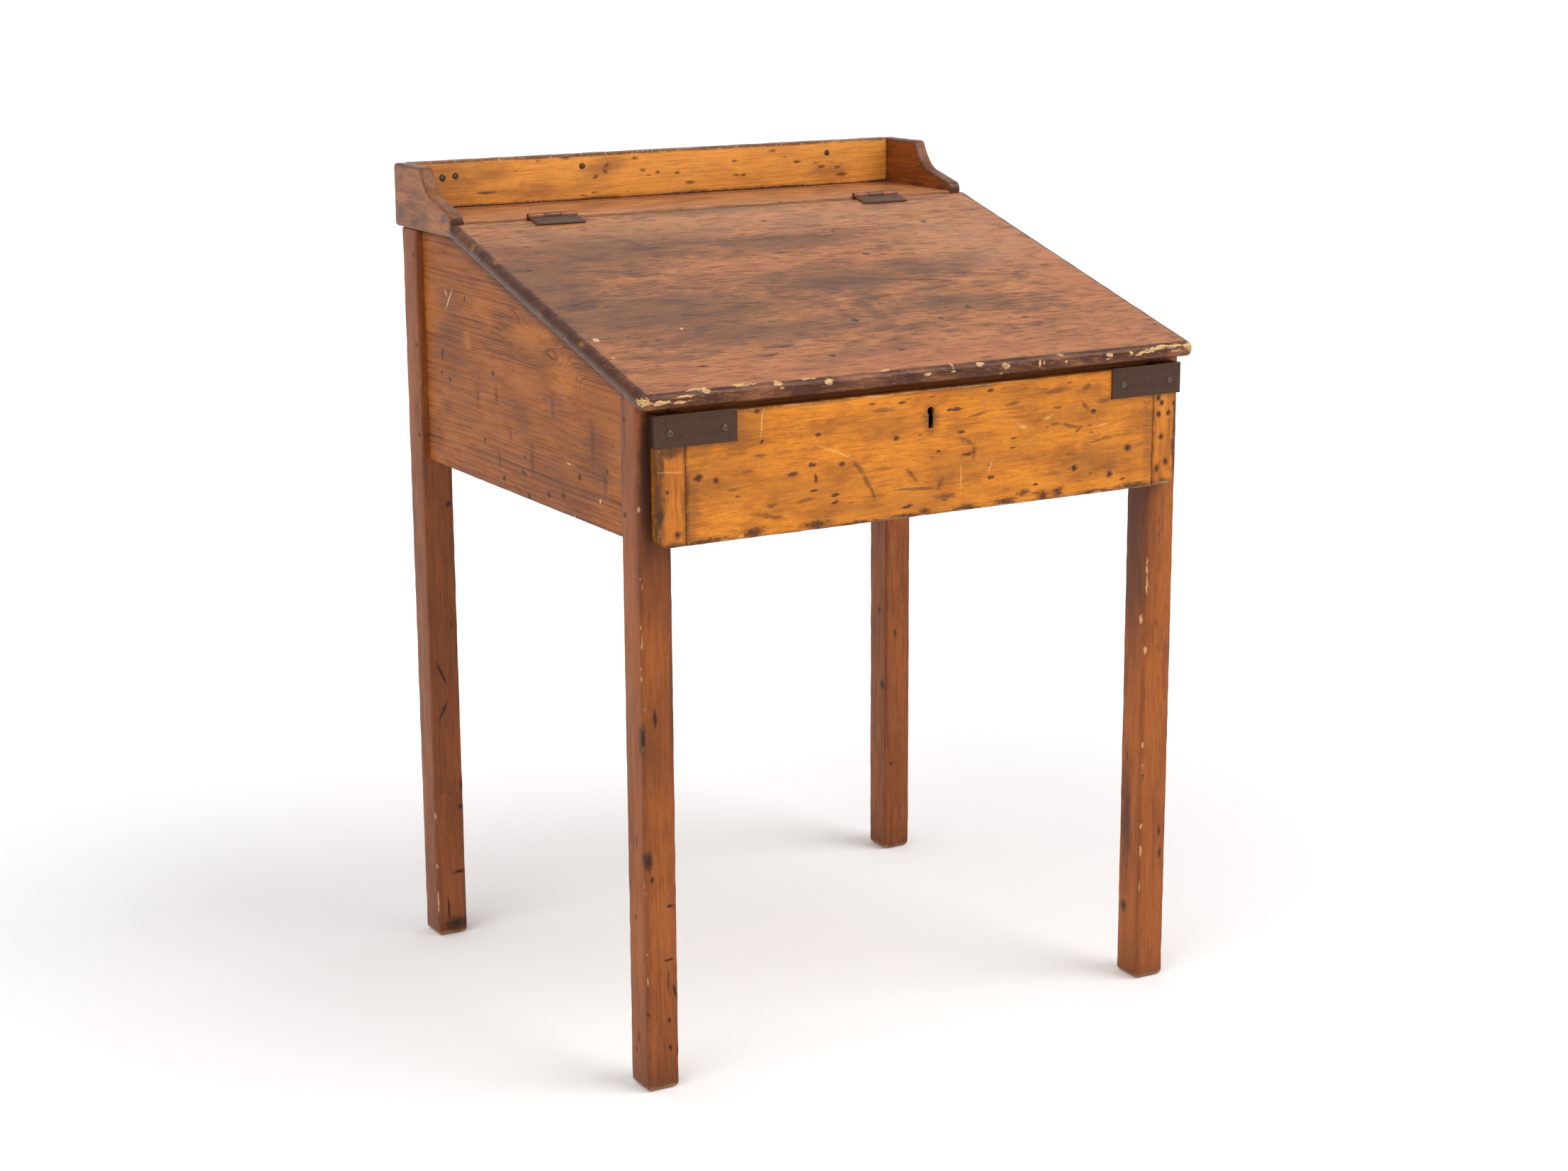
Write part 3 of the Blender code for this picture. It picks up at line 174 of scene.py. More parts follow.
def pine(name, look):
    material = bpy.data.materials.new(name)
    material.use_nodes = True
    tree = material.node_tree
    shader = tree.nodes["Principled BSDF"]
    place = addNode(tree, "ShaderNodeTexCoord").outputs["Object"]
    turn = Vector(grainTurn[look["grain"]])
    turn += Vector((0, math.radians(look.get("rise", 0)), math.radians(look.get("drift", 0))))
    heart = Vector(look["heart"]) / 1000  # a point on the heart of the tree, in mm
    board = addNode(tree, "ShaderNodeVectorMath", {0: place, 1: heart}, operation="SUBTRACT").outputs[0]
    board = addNode(tree, "ShaderNodeMapping", {"Vector": board, "Rotation": turn}).outputs[0]

    def alongGrain(long, wide, detail, roughness, output="Fac"):
        # noise drawn out along the grain, its marks so long and so wide in mm
        stretch = (1000 / long, 1000 / wide, 1000 / wide)
        scaled = addNode(tree, "ShaderNodeVectorMath", {0: board, 1: stretch},
                         operation="MULTIPLY").outputs[0]
        return addNode(tree, "ShaderNodeTexNoise", {
            "Vector": scaled, "Scale": 1.0, "Detail": detail, "Roughness": roughness}).outputs[output]

    def coat(under, pattern, low, high, share, hexCode):
        # a colour laid over another where a pattern climbs from low to high
        mask = addNode(tree, "ShaderNodeMapRange", {
            "Value": pattern, "From Min": low, "From Max": high, "To Max": share},
            interpolation_type="SMOOTHSTEP")
        return addNode(tree, "ShaderNodeMix", {
            0: mask.outputs[0], 6: under, 7: linear(hexCode)}, data_type="RGBA").outputs[2]

    # growth rings: circles round the heart, waved along the board, uneven in width and in strength
    across = addNode(tree, "ShaderNodeVectorMath", {0: board, 1: (0, 1, 1)}, operation="MULTIPLY").outputs[0]
    wave = alongGrain(look["waveSize"] * 6, look["waveSize"], 3.0, 0.45, "Color")
    wave = addNode(tree, "ShaderNodeVectorMath", {0: wave, 1: (0.5, 0.5, 0.5)},
                   operation="SUBTRACT").outputs[0]
    sway = look["wave"] / 1000
    waved = addNode(tree, "ShaderNodeVectorMath", {
        0: wave, 1: (0, sway, sway), 2: across}, operation="MULTIPLY_ADD").outputs[0]
    radius = addNode(tree, "ShaderNodeVectorMath", {0: waved}, operation="LENGTH").outputs["Value"]
    years = addNode(tree, "ShaderNodeMath", {0: radius, 1: 1000 / look["ring"]},
                    operation="MULTIPLY").outputs[0]
    uneven = addNode(tree, "ShaderNodeTexNoise", {
        "W": years, "Scale": 0.37, "Detail": 2.0}, noise_dimensions="1D").outputs["Fac"]
    years = addNode(tree, "ShaderNodeMath", {0: uneven, 1: 2.6, 2: years},
                    operation="MULTIPLY_ADD").outputs[0]
    knotNear = None
    for kind, pushed in (("swells", 5.0), ("knots", 1.6)):  # rings pushed aside round an island or a knot
        if look.get(kind):
            knotNear = nearestMark(tree, place, look["plane"], look[kind])
            push = addNode(tree, "ShaderNodeMapRange", {
                "Value": knotNear, "From Max": 3.0, "To Min": pushed, "To Max": 0.0},
                interpolation_type="SMOOTHERSTEP")
            years = addNode(tree, "ShaderNodeMath", {0: years, 1: push.outputs[0]},
                            operation="ADD").outputs[0]
    season = addNode(tree, "ShaderNodeMath", {0: years}, operation="FRACT").outputs[0]
    year = addNode(tree, "ShaderNodeMath", {0: years}, operation="FLOOR").outputs[0]
    strength = addNode(tree, "ShaderNodeTexWhiteNoise", {"W": year}, noise_dimensions="1D").outputs["Value"]
    strength = addNode(tree, "ShaderNodeMath", {0: strength, 1: 0.55, 2: 0.45},
                       operation="MULTIPLY_ADD").outputs[0]
    fades = addNode(tree, "ShaderNodeMapRange", {
        "Value": alongGrain(380, 60, 2.0, 0.5), "From Min": 0.35, "From Max": 0.65,
        "To Min": look["ringShow"] * 0.5, "To Max": look["ringShow"]}).outputs[0]
    strength = addNode(tree, "ShaderNodeMath", {0: strength, 1: fades}, operation="MULTIPLY").outputs[0]
    late = addNode(tree, "ShaderNodeMapRange", {
        "Value": season, "From Min": 0.4, "From Max": 0.9}, interpolation_type="SMOOTHSTEP").outputs[0]
    late = addNode(tree, "ShaderNodeMath", {0: late, 1: strength}, operation="MULTIPLY").outputs[0]
    colour = coat(linear(look["early"]), late, 0.0, 1.0, 1.0, look["late"])

    # fibres, drawn 1.6 mm across so that they show, and bands of them about 6 mm across
    fibre = alongGrain(48, 1.6, 2.0, 0.65)
    colour = coat(colour, fibre, 0.47, 0.68, look["fibreShow"], look["late"])
    colour = coat(colour, alongGrain(150, 6, 3.0, 0.6), 0.48, 0.68, look["bandShow"], look["late"])

    # old polish, thicker and thinner, and dirt rubbed along the grain
    patch = alongGrain(look["patchSize"] * 2.2, look["patchSize"], 5.0, 0.62)
    colour = coat(colour, patch, 0.46, 0.68, look["patchShow"], look["patch"])
    colour = coat(colour, patch, 0.5, 0.32, look["glowShow"], look["glow"])
    smear = alongGrain(look["smear"][0], look["smear"][1], 6.0, 0.66)
    colour = coat(colour, smear, 0.48, 0.64, look["smearShow"], look["patch"])

    # short dark flecks along the grain, about 9 by 2 mm
    fleckSize = (1000 / 15, 1000 / 3.4, 1000 / 3.4)
    fleckMap = addNode(tree, "ShaderNodeVectorMath", {0: board, 1: fleckSize},
                       operation="MULTIPLY").outputs[0]
    cell = addNode(tree, "ShaderNodeTexVoronoi", {"Vector": fleckMap, "Scale": 1.0, "Randomness": 1.0})
    pick = addNode(tree, "ShaderNodeSeparateColor", {0: cell.outputs["Color"]}).outputs[0]
    reach = addNode(tree, "ShaderNodeMapRange", {
        "Value": pick, "From Min": 1 - look["fleckShare"], "From Max": 1.0, "To Max": 0.46}).outputs[0]
    torn = addNode(tree, "ShaderNodeMapRange", {
        "Value": alongGrain(6, 2.6, 4.0, 0.65), "From Min": 0.3, "From Max": 0.7,
        "To Min": -0.5, "To Max": 0.5}).outputs[0]
    fleck = addNode(tree, "ShaderNodeMath", {0: reach, 1: cell.outputs["Distance"]},
                    operation="SUBTRACT").outputs[0]
    fleck = addNode(tree, "ShaderNodeMath", {0: torn, 1: 0.4, 2: fleck}, operation="MULTIPLY_ADD").outputs[0]
    fleck = addNode(tree, "ShaderNodeMath", {0: fleck, 1: reach}, operation="MULTIPLY").outputs[0]
    fleck = addNode(tree, "ShaderNodeMapRange", {
        "Value": fleck, "From Max": 0.06, "To Max": look["fleckShow"]},
        interpolation_type="SMOOTHSTEP").outputs[0]
    colour = coat(colour, fleck, 0.0, 1.0, 1.0, look["fleck"])
    if look.get("knots"):
        knotShape = addNode(tree, "ShaderNodeMath", {0: torn, 1: 0.5, 2: knotNear},
                            operation="MULTIPLY_ADD").outputs[0]
        colour = coat(colour, knotShape, 1.5, 0.5, 0.9, look["knot"])

    # marks that stand in particular places: smears, dents and scratches, and in a few places painted shade
    # and painted shadow, none with a clean outline
    bent = addNode(tree, "ShaderNodeTexNoise", {"Vector": place, "Scale": 1000 / 14,
                                                "Detail": 2.0}).outputs["Color"]
    bent = addNode(tree, "ShaderNodeVectorMath", {0: bent, 1: (0.5, 0.5, 0.5)},
                   operation="SUBTRACT").outputs[0]
    wide, slight = [addNode(tree, "ShaderNodeVectorMath", {
        0: bent, 1: (by, by, by), 2: place}, operation="MULTIPLY_ADD").outputs[0] for by in (0.010, 0.0035)]
    rubbed = addNode(tree, "ShaderNodeMapRange", {
        "Value": smear, "From Min": 0.34, "From Max": 0.66, "To Min": -0.5, "To Max": 0.5}).outputs[0]
    for stainOrShade in look.get("stainsAndShade", ()):
        spot, rag = (wide, rubbed) if stainOrShade.get("smeared") else (slight, torn)
        depth = stainOrShade.get("depth", look.get("depth", (0, 1e5)))
        away = nearestMark(tree, spot, stainOrShade.get("plane", look["plane"]), stainOrShade["marks"], depth)
        away = addNode(tree, "ShaderNodeMath", {0: rag, 1: stainOrShade["ragged"], 2: away},
                       operation="MULTIPLY_ADD").outputs[0]
        colour = coat(colour, away, 1.0 + stainOrShade["soft"], 1.0 - stainOrShade["soft"], stainOrShade["show"], stainOrShade["colour"])

    # fine grit in the polish keeps the colour from lying flat, 2 mm or so
    grit = addNode(tree, "ShaderNodeMapRange", {
        "Value": alongGrain(4, 1.8, 3.0, 0.7), "From Min": 0.3, "From Max": 0.7,
        "To Min": 1 - look["grit"], "To Max": 1 + look["grit"]}).outputs[0]
    colour = addNode(tree, "ShaderNodeVectorMath", {0: colour, "Scale": grit}, operation="SCALE").outputs[0]

    # polish: duller where it is rubbed
    rough = addNode(tree, "ShaderNodeMapRange", {
        "Value": smear, "From Min": 0.3, "From Max": 0.7,
        "To Min": look["rough"][0], "To Max": look["rough"][1]}).outputs[0]

    # fibres stand up a little, flecks lie below the polish
    height = addNode(tree, "ShaderNodeMath", {0: fleck, 1: -0.8, 2: fibre},
                     operation="MULTIPLY_ADD").outputs[0]
    height = addNode(tree, "ShaderNodeMath", {0: torn, 1: 0.25, 2: height},
                     operation="MULTIPLY_ADD").outputs[0]

    # edges: dark polish beside them, handled smooth, then rubbed specks, then chips down to paler wood
    if "edge" in look:
        wear = look["edge"]
        edge = addNode(tree, "ShaderNodeAttribute", attribute_name="edge").outputs["Fac"]

        def nearEdge(reach, wander, pattern):
            # above 0 where an edge is nearer than a line that wanders about its reach, both in mm
            line = addNode(tree, "ShaderNodeMath", {
                0: pattern, 1: wander / 250, 2: (reach - wander * 2) / 1000},
                operation="MULTIPLY_ADD").outputs[0]
            return addNode(tree, "ShaderNodeMath", {0: line, 1: edge}, operation="SUBTRACT").outputs[0]

        reach, wander = wear["grimeReach"]
        grime = nearEdge(reach, wander, alongGrain(60, 22, 4.0, 0.6))
        colour = coat(colour, grime, -wander / 1000, wander / 1000, wear["grimeShow"], wear["grime"])
        handled = addNode(tree, "ShaderNodeMapRange", {
            "Value": edge, "From Max": 0.004, "To Min": wear.get("gloss", 0.0), "To Max": 0.0}).outputs[0]
        rough = addNode(tree, "ShaderNodeMath", {0: rough, 1: handled}, operation="SUBTRACT").outputs[0]
        reach, wander = wear["speckReach"]
        specks = addNode(tree, "ShaderNodeMapRange", {
            "Value": nearEdge(reach, wander, alongGrain(40, 15, 3.0, 0.6)),
            "From Min": -0.002, "From Max": 0.002}).outputs[0]
        specks = addNode(tree, "ShaderNodeMath", {
            0: alongGrain(*wear.get("speckSize", (3.4, 2.0)), 3.0, 0.7), 1: specks},
            operation="MULTIPLY").outputs[0]
        colour = coat(colour, specks, 0.55, 0.63, wear["speckShow"], wear["speck"])
        reach, wander = wear["bareReach"]
        bareWood = nearEdge(reach, wander, alongGrain(22, 6, 5.0, 0.7))
        bareWood = addNode(tree, "ShaderNodeMapRange", {
            "Value": bareWood, "From Min": -0.0006, "From Max": 0.0006,
            "To Max": wear["bareShow"]}).outputs[0]
        if wear.get("chips"):
            away = nearestMark(tree, slight, wear["chipPlane"], wear["chips"], wear["chipDepth"])
            away = addNode(tree, "ShaderNodeMath", {0: torn, 1: 1.1, 2: away},
                           operation="MULTIPLY_ADD").outputs[0]
            chip = addNode(tree, "ShaderNodeMapRange", {
                "Value": away, "From Min": 1.08, "From Max": 0.92, "To Max": 0.95}).outputs[0]
            bareWood = addNode(tree, "ShaderNodeMath", {0: bareWood, 1: chip}, operation="MAXIMUM").outputs[0]
        fibrous = addNode(tree, "ShaderNodeMapRange", {
            "Value": alongGrain(18, 1.8, 3.0, 0.7), "From Min": 0.35, "From Max": 0.62,
            "To Min": 0.25, "To Max": 1.0}).outputs[0]
        bareWood = addNode(tree, "ShaderNodeMath", {0: bareWood, 1: fibrous}, operation="MULTIPLY").outputs[0]
        colour = coat(colour, bareWood, 0.0, 1.0, 1.0, wear["bare"])
        rough = addNode(tree, "ShaderNodeMath", {0: bareWood, 1: 0.25, 2: rough},
                        operation="MULTIPLY_ADD").outputs[0]
        height = addNode(tree, "ShaderNodeMath", {0: bareWood, 1: -0.8, 2: height},
                         operation="MULTIPLY_ADD").outputs[0]
    tree.links.new(colour, shader.inputs["Base Color"])
    tree.links.new(rough, shader.inputs["Roughness"])
    shader.inputs["Specular IOR Level"].default_value = look["shine"]
    bump = addNode(tree, "ShaderNodeBump", {"Strength": look["bump"], "Distance": 0.0006, "Height": height})
    tree.links.new(bump.outputs[0], shader.inputs["Normal"])
    return material


# boards: a rounded outline drawn through its thickness

def outlineRing(corners, straights, arcSteps, inset):
    points, total = [], len(corners)
    firstLast = []
    for k in range(total):
        here = Vector(corners[k][:2])
        coming = (here - Vector(corners[k - 1][:2])).normalized()
        going = (Vector(corners[(k + 1) % total][:2]) - here).normalized()
        sideA, sideB = Vector((-coming.y, coming.x)), Vector((-going.y, going.x))
        mitre = (sideA + sideB) / (1 + sideA.dot(sideB))
        radius = corners[k][2]
        if radius == 0:
            arc = [here + mitre * inset]
        elif inset >= radius:
            arc = [here + mitre * inset] * (arcSteps + 1)
        else:
            centre = here + mitre * radius
            start = math.atan2(sideA.y, sideA.x)
            swing = math.atan2(sideB.y, sideB.x) - start
            swing = (swing + math.pi) % (2 * math.pi) - math.pi
            arc = []
            for step in range(arcSteps + 1):
                angle = start + swing * step / arcSteps
                arc.append(centre - Vector((math.cos(angle), math.sin(angle))) * (radius - inset))
        firstLast.append(arc)
    for k in range(total):
        points += firstLast[k]
        start, end = firstLast[k][-1], firstLast[(k + 1) % total][0]
        points += [start.lerp(end, step / straights[k]) for step in range(1, straights[k])]
    return points


def boardMesh(corners, low, high, toPlace, shape):
    # corners are (across, up, radius) round the face; low and high are the two faces' depths
    step, rims, faceRings = shape["step"], shape["rims"], shape["faceRings"]
    total, arcSteps, rimSteps = len(corners), shape.get("arcSteps", 5), shape.get("rimSteps", 5)
    straights = []
    for k in range(total):
        run = (Vector(corners[(k + 1) % total][:2]) - Vector(corners[k][:2])).length
        straights.append(max(1, round(run / step)))
    rows = [(inset, low) for inset in reversed(faceRings)]
    for k in range(rimSteps + 1):
        angle = math.pi / 2 * k / rimSteps
        rows.append((rims[0] * (1 - math.sin(angle)), low + rims[0] * (1 - math.cos(angle))))
    wall = (high - rims[1]) - (low + rims[0])
    pieces = max(1, round(wall / shape.get("wallStep", 1.0)))
    rows += [(0, low + rims[0] + wall * k / pieces) for k in range(1, pieces)]
    for k in range(rimSteps, -1, -1):
        angle = math.pi / 2 * k / rimSteps
        rows.append((rims[1] * (1 - math.sin(angle)), high - rims[1] * (1 - math.cos(angle))))
    rows += [(inset, high) for inset in faceRings]
    bm = bmesh.new()
    edgeLayer = bm.verts.layers.float.new("edge")
    arrises = [Vector(c[:2]) for c in corners if c[2] > 0]
    grid = []
    for inset, depth in rows:
        ring = []
        onFace = depth in (low, high)
        for point in outlineRing(corners, straights, arcSteps, inset):
            vert = bm.verts.new((point.x, point.y, depth))
            if onFace:
                near = inset - (rims[0] if depth == low else rims[1])
            else:
                near = min(depth - low - rims[0], high - rims[1] - depth)
                if shape.get("arrisWear"):
                    near = min([near] + [(point - corner).length - corners[0][2] for corner in arrises])
            vert[edgeLayer] = max(0.0, near)
            ring.append(vert)
        grid.append(ring)
    count = len(grid[0])
    for lower, upper in zip(grid, grid[1:]):
        for k in range(count):
            bm.faces.new((lower[k], lower[(k + 1) % count], upper[(k + 1) % count], upper[k]))
    bm.faces.new(list(reversed(grid[0])))
    bm.faces.new(grid[-1])
    bmesh.ops.remove_doubles(bm, verts=bm.verts, dist=2e-6)
    bmesh.ops.recalc_face_normals(bm, faces=bm.faces)
    bm.normal_update()
    # worn unevenly: the rims sink a little, and chips sink further
    for vert in bm.verts:
        chip = max([0.0] + [dentAt(vert.co, dent) for dent in shape.get("dents", ())])
        sink = chip * shape.get("dentDepth", 0.0)
        if vert[edgeLayer] < 0.001:
            worn = 0.45 + noise.noise(vert.co * 55) + 0.5 * noise.noise(vert.co * 190)
            sink += shape.get("wobble", 0.0) * max(0.0, worn)
        if sink:
            vert.co -= vert.normal * sink
    bm.transform(toPlace)
    mesh = bpy.data.meshes.new("board")
    bm.to_mesh(mesh)
    bm.free()
    mesh.shade_smooth()
    return mesh


def dentAt(spot, dent):
    # dent: its middle (across, up, depth) and its half sizes, in metres
    middle, half = dent
    away = math.sqrt(sum(((spot[k] - middle[k]) / half[k]) ** 2 for k in range(3)))
    return max(0.0, 1 - away)


def finished(name, mesh, material, body, slot, *replaced):
    piece = bpy.data.objects.new(name, mesh)
    mesh.name = name
    if material is not None:
        mesh.materials.clear()
        mesh.materials.append(material)
    scene.collection.objects.link(piece)
    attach(piece, body)
    if replaced:
        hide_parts(*replaced)
    return piece


def evaluated(piece):
    # a plain mesh of a piece with its modifiers worked out
    bpy.context.view_layer.update()
    mesh = bpy.data.meshes.new_from_object(piece.evaluated_get(bpy.context.evaluated_depsgraph_get()))
    bpy.data.objects.remove(piece)
    return mesh


def cutBy(mesh, cutters):
    piece = bpy.data.objects.new("beingCut", mesh)
    scene.collection.objects.link(piece)
    tools = []
    for bm in cutters:
        tool = bpy.data.meshes.new("cutter")
        bmesh.ops.recalc_face_normals(bm, faces=bm.faces)
        bm.to_mesh(tool)
        bm.free()
        toolPiece = bpy.data.objects.new("cutter", tool)
        scene.collection.objects.link(toolPiece)
        tools.append(toolPiece)
        cut = piece.modifiers.new("cut", "BOOLEAN")
        cut.operation, cut.solver, cut.object = "DIFFERENCE", "EXACT", toolPiece
    result = evaluated(piece)
    result.set_sharp_from_angle(angle=math.radians(50))
    for tool in tools:
        bpy.data.objects.remove(tool)
    return result


def merged(nodeName):
    # the CAD node's triangles joined into flat faces
    bm = bmesh.new()
    bm.from_mesh(nodes[nodeName].data)
    bmesh.ops.remove_doubles(bm, verts=bm.verts, dist=1e-5)
    bmesh.ops.dissolve_limit(bm, angle_limit=math.radians(0.5), verts=bm.verts, edges=bm.edges)
    return bm


def easedCopy(nodeName, width, segments=3):
    # the CAD shape with softened edges
    mesh = bpy.data.meshes.new(nodeName)
    bm = merged(nodeName)
    bm.to_mesh(mesh)
    bm.free()
    piece = bpy.data.objects.new("beingEased", mesh)
    scene.collection.objects.link(piece)
    bevel = piece.modifiers.new("ease", "BEVEL")
    bevel.width, bevel.segments, bevel.limit_method = width, segments, "ANGLE"
    bevel.angle_limit, bevel.use_clamp_overlap = math.radians(35), True
    result = evaluated(piece)
    bm = bmesh.new()
    bm.from_mesh(result)
    bmesh.ops.remove_doubles(bm, verts=bm.verts, dist=4e-6)  # no slivers where an edge is too short to soften
    bm.to_mesh(result)
    bm.free()
    result.shade_smooth()
    result.set_sharp_from_angle(angle=math.radians(40))
    return result


def faceOutline(nodeName, direction, first, second):
    # the corners of the node's largest flat face that looks in a direction, anticlockwise
    bm = merged(nodeName)
    faces = [face for face in bm.faces if face.normal.dot(direction) > 0.999]
    face = max(faces, key=lambda f: f.calc_area())
    corners = [(loop.vert.co[first], loop.vert.co[second]) for loop in face.loops]
    bm.free()
    area = sum(a[0] * b[1] - b[0] * a[1] for a, b in zip(corners, corners[1:] + corners[:1]))
    return corners if area > 0 else corners[::-1]


def faceMatrix(first, second, through):
    axes = {"X": (1, 0, 0), "Y": (0, 1, 0), "Z": (0, 0, 1), "-X": (-1, 0, 0), "-Y": (0, -1, 0)}
    return Matrix((axes[first], axes[second], axes[through])).transposed().to_4x4()


def rectangle(low, high, radii):
    (left, bottom), (right, top) = low, high
    return [(left, bottom, radii[0]), (right, bottom, radii[1]), (right, top, radii[2]),
            (left, top, radii[3])]


# writing lid: a wide board with a half-round nose, streaky dark varnish, pale chips along the nose

lid = {
    "slot": "dark_pine",
    "corner": 0.008, "rearCorner": 0.003,
    "shape": {"step": 0.0035, "rims": (0.0058, 0.0082), "rimSteps": 8, "arcSteps": 6,  # rims under and over
              "faceRings": (0.012, 0.018, 0.030), "wobble": 0.0003, "dentDepth": 0.0009},
    "knuckleRoom": 0.0042,  # radius of the recess round each hinge pin
    "chips": [  # on the front nose: x, z, half length, half height and turn, mm and degrees
        (-348, 756, 8, 4.4, 0), (-330, 754, 11, 2.4, 0), (-306, 753, 10, 1.5, 0), (-302, 758, 12, 1.1, 0),
        (-283, 764, 13, 1.6, 0), (-275, 762, 5, 2.2, 0), (-230, 764, 16, 0.9, 0), (-190, 762, 5, 2.3, 0),
        (-186, 757, 3, 1.7, 0), (-150, 763, 10, 0.8, 0), (-129, 758, 5, 2.9, 0), (-57, 764, 8, 1.0, 0),
        (-8, 756, 4.6, 1.6, 0), (26, 762, 1.7, 3.4, 0), (26, 756, 2.5, 1.0, 0), (61, 761, 4, 2, 0),
        (94, 757, 5, 3.3, 0), (89, 749, 2, 1.8, 0), (139, 755, 1.5, 5, 0), (145, 756, 1.1, 3, 0),
        (168, 762, 3.5, 1.6, 0), (174, 754, 1.9, 2.6, 15), (233, 757, 4.5, 2.2, 0), (231, 752, 2.6, 1.1, 0),
        (263, 757, 2.5, 2, 0), (277, 756, 8, 1.8, 12), (299, 759, 15, 2.4, 8), (319, 760, 12, 2.2, 0),
        (345, 758, 8, 4.6, 0), (326, 755, 9, 1.4, 0)],
    "look": {  # shellac over stained pine: streaked dark grain under a soft shine
        "grain": "X", "plane": "XY", "rise": -3.0, "heart": (-40, -90, 776), "ring": 4.0, "ringShow": 0.7,
        "wave": 30, "waveSize": 130, "early": "#b67446", "late": "#5f331c", "fibreShow": 0.62,
        "bandShow": 0.35,
        "patch": "#4c332a", "patchShow": 0.55, "patchSize": 22, "glow": "#c98754", "glowShow": 0.4,
        "smear": (26, 5), "smearShow": 0.58, "grit": 0.12,
        "fleck": "#2e1810", "fleckShare": 0.05, "fleckShow": 0.7,
        "rough": (0.34, 0.5), "shine": 0.26, "bump": 0.3,
        "edge": {"grimeReach": (0.6, 1.2), "grime": "#431f10", "grimeShow": 0.95, "gloss": 0.14,
                 "speckReach": (2.0, 2.6), "speck": "#b3743e", "speckShow": 0.42, "speckSize": (10, 1.6),
                 "bareReach": (-9, 4), "bareShow": 0.0, "bare": "#e0b47c", "chipPlane": "XZ",
                 "chipDepth": (-318, 12)},
        "stainsAndShade": [
            {"colour": "#43322c", "soft": 0.65, "show": 0.6, "smeared": True, "ragged": 2.3, "marks": [
                (-238, -128, 130, 56, 4), (-200, 45, 120, 44, 6), (-310, -30, 50, 90, 0),
                (18, -78, 90, 30, 0), (-150, -193, 120, 20, 2), (-17, 142, 60, 10, 0),
                (32, -105, 12, 30, 0), (18, -170, 10, 34, 0), (20, 36, 90, 18, 0), (160, -60, 80, 18, 0),
                (120, -160, 60, 16, 0), (-40, -262, 60, 9, 0)]},
            {"colour": "#b06c46", "soft": 0.8, "show": 0.5, "smeared": True, "ragged": 1.6, "marks": [
                (0, -288, 460, 34, 0), (325, -120, 45, 170, 0), (-60, -20, 60, 14, 0),
                (90, -20, 50, 14, 0)]},
            {"colour": "#b98560", "soft": 0.8, "show": 0.42, "smeared": True, "ragged": 1.2, "marks": [
                (60, 108, 330, 36, 0), (260, 20, 90, 80, 0)]},
            {"colour": "#2c1a14", "soft": 0.5, "show": 0.85, "ragged": 0.9, "marks": [
                (-318, 9, 3.6, 3, 30), (103, -15, 4, 3, 0), (100, 55, 3, 2.4, 0), (234, 65, 4, 3, 0),
                (137, -177, 4, 3, 0), (87, -200, 3, 3, 0), (-8, -267, 4, 2.4, 0), (-94, -265, 4, 3, 0),
                (-17, -185, 4, 4, 0), (31, 100, 3, 2, 0), (190, -215, 5, 2, 0), (-160, -250, 8, 2, 10),
                (-250, -262, 6, 2.4, 0), (-130, -232, 12, 1.6, 14)]},
            # dark streaks along the grain; the last mark, beside the left hinge, is painted shade in the seam
            # against the shelf
            {"colour": "#33211a", "soft": 0.6, "show": 0.7, "ragged": 0.8, "marks": [
                (-311, -89, 18, 1.3, 10), (-172, -114, 18, 1.3, 0), (-116, -119, 25, 1.4, -6),
                (-104, -19, 18, 1.2, 4), (-285, -182, 30, 1.2, 3), (-258, 151, 12, 1.6, 0)]},
            # painted shadow round each hinge leaf
            {"colour": "#3c2720", "soft": 0.6, "show": 0.6, "ragged": 0.5, "marks": [
                (-220, 139, 35, 12, 0), (220, 139, 35, 12, 0)]},
            {"depth": (800, 14), "colour": "#d9b48a", "soft": 0.3, "show": 0.85, "ragged": 0.6, "marks": [
                (-331, -178, 3.6, 4.6, 0), (-334, -223, 3, 2.4, 0), (-225, -169, 2.2, 2.4, 0)]},
            {"plane": "YZ", "depth": (-351, 9), "colour": "#3a2318", "soft": 0.6, "show": 0.8,
             "ragged": 0.5, "marks": [
                (-83, 822, 330, 13, 15.1)]},
            {"plane": "YZ", "depth": (-351, 10), "colour": "#c9903f", "soft": 0.2, "show": 0.85,
             "ragged": 1.2, "marks": [
                (92, 872, 5, 5, 0), (-85, 822, 6, 8, 0), (-178, 797, 4, 3, 0), (40, 862, 7, 2, 16)]},
        ],
    },
}


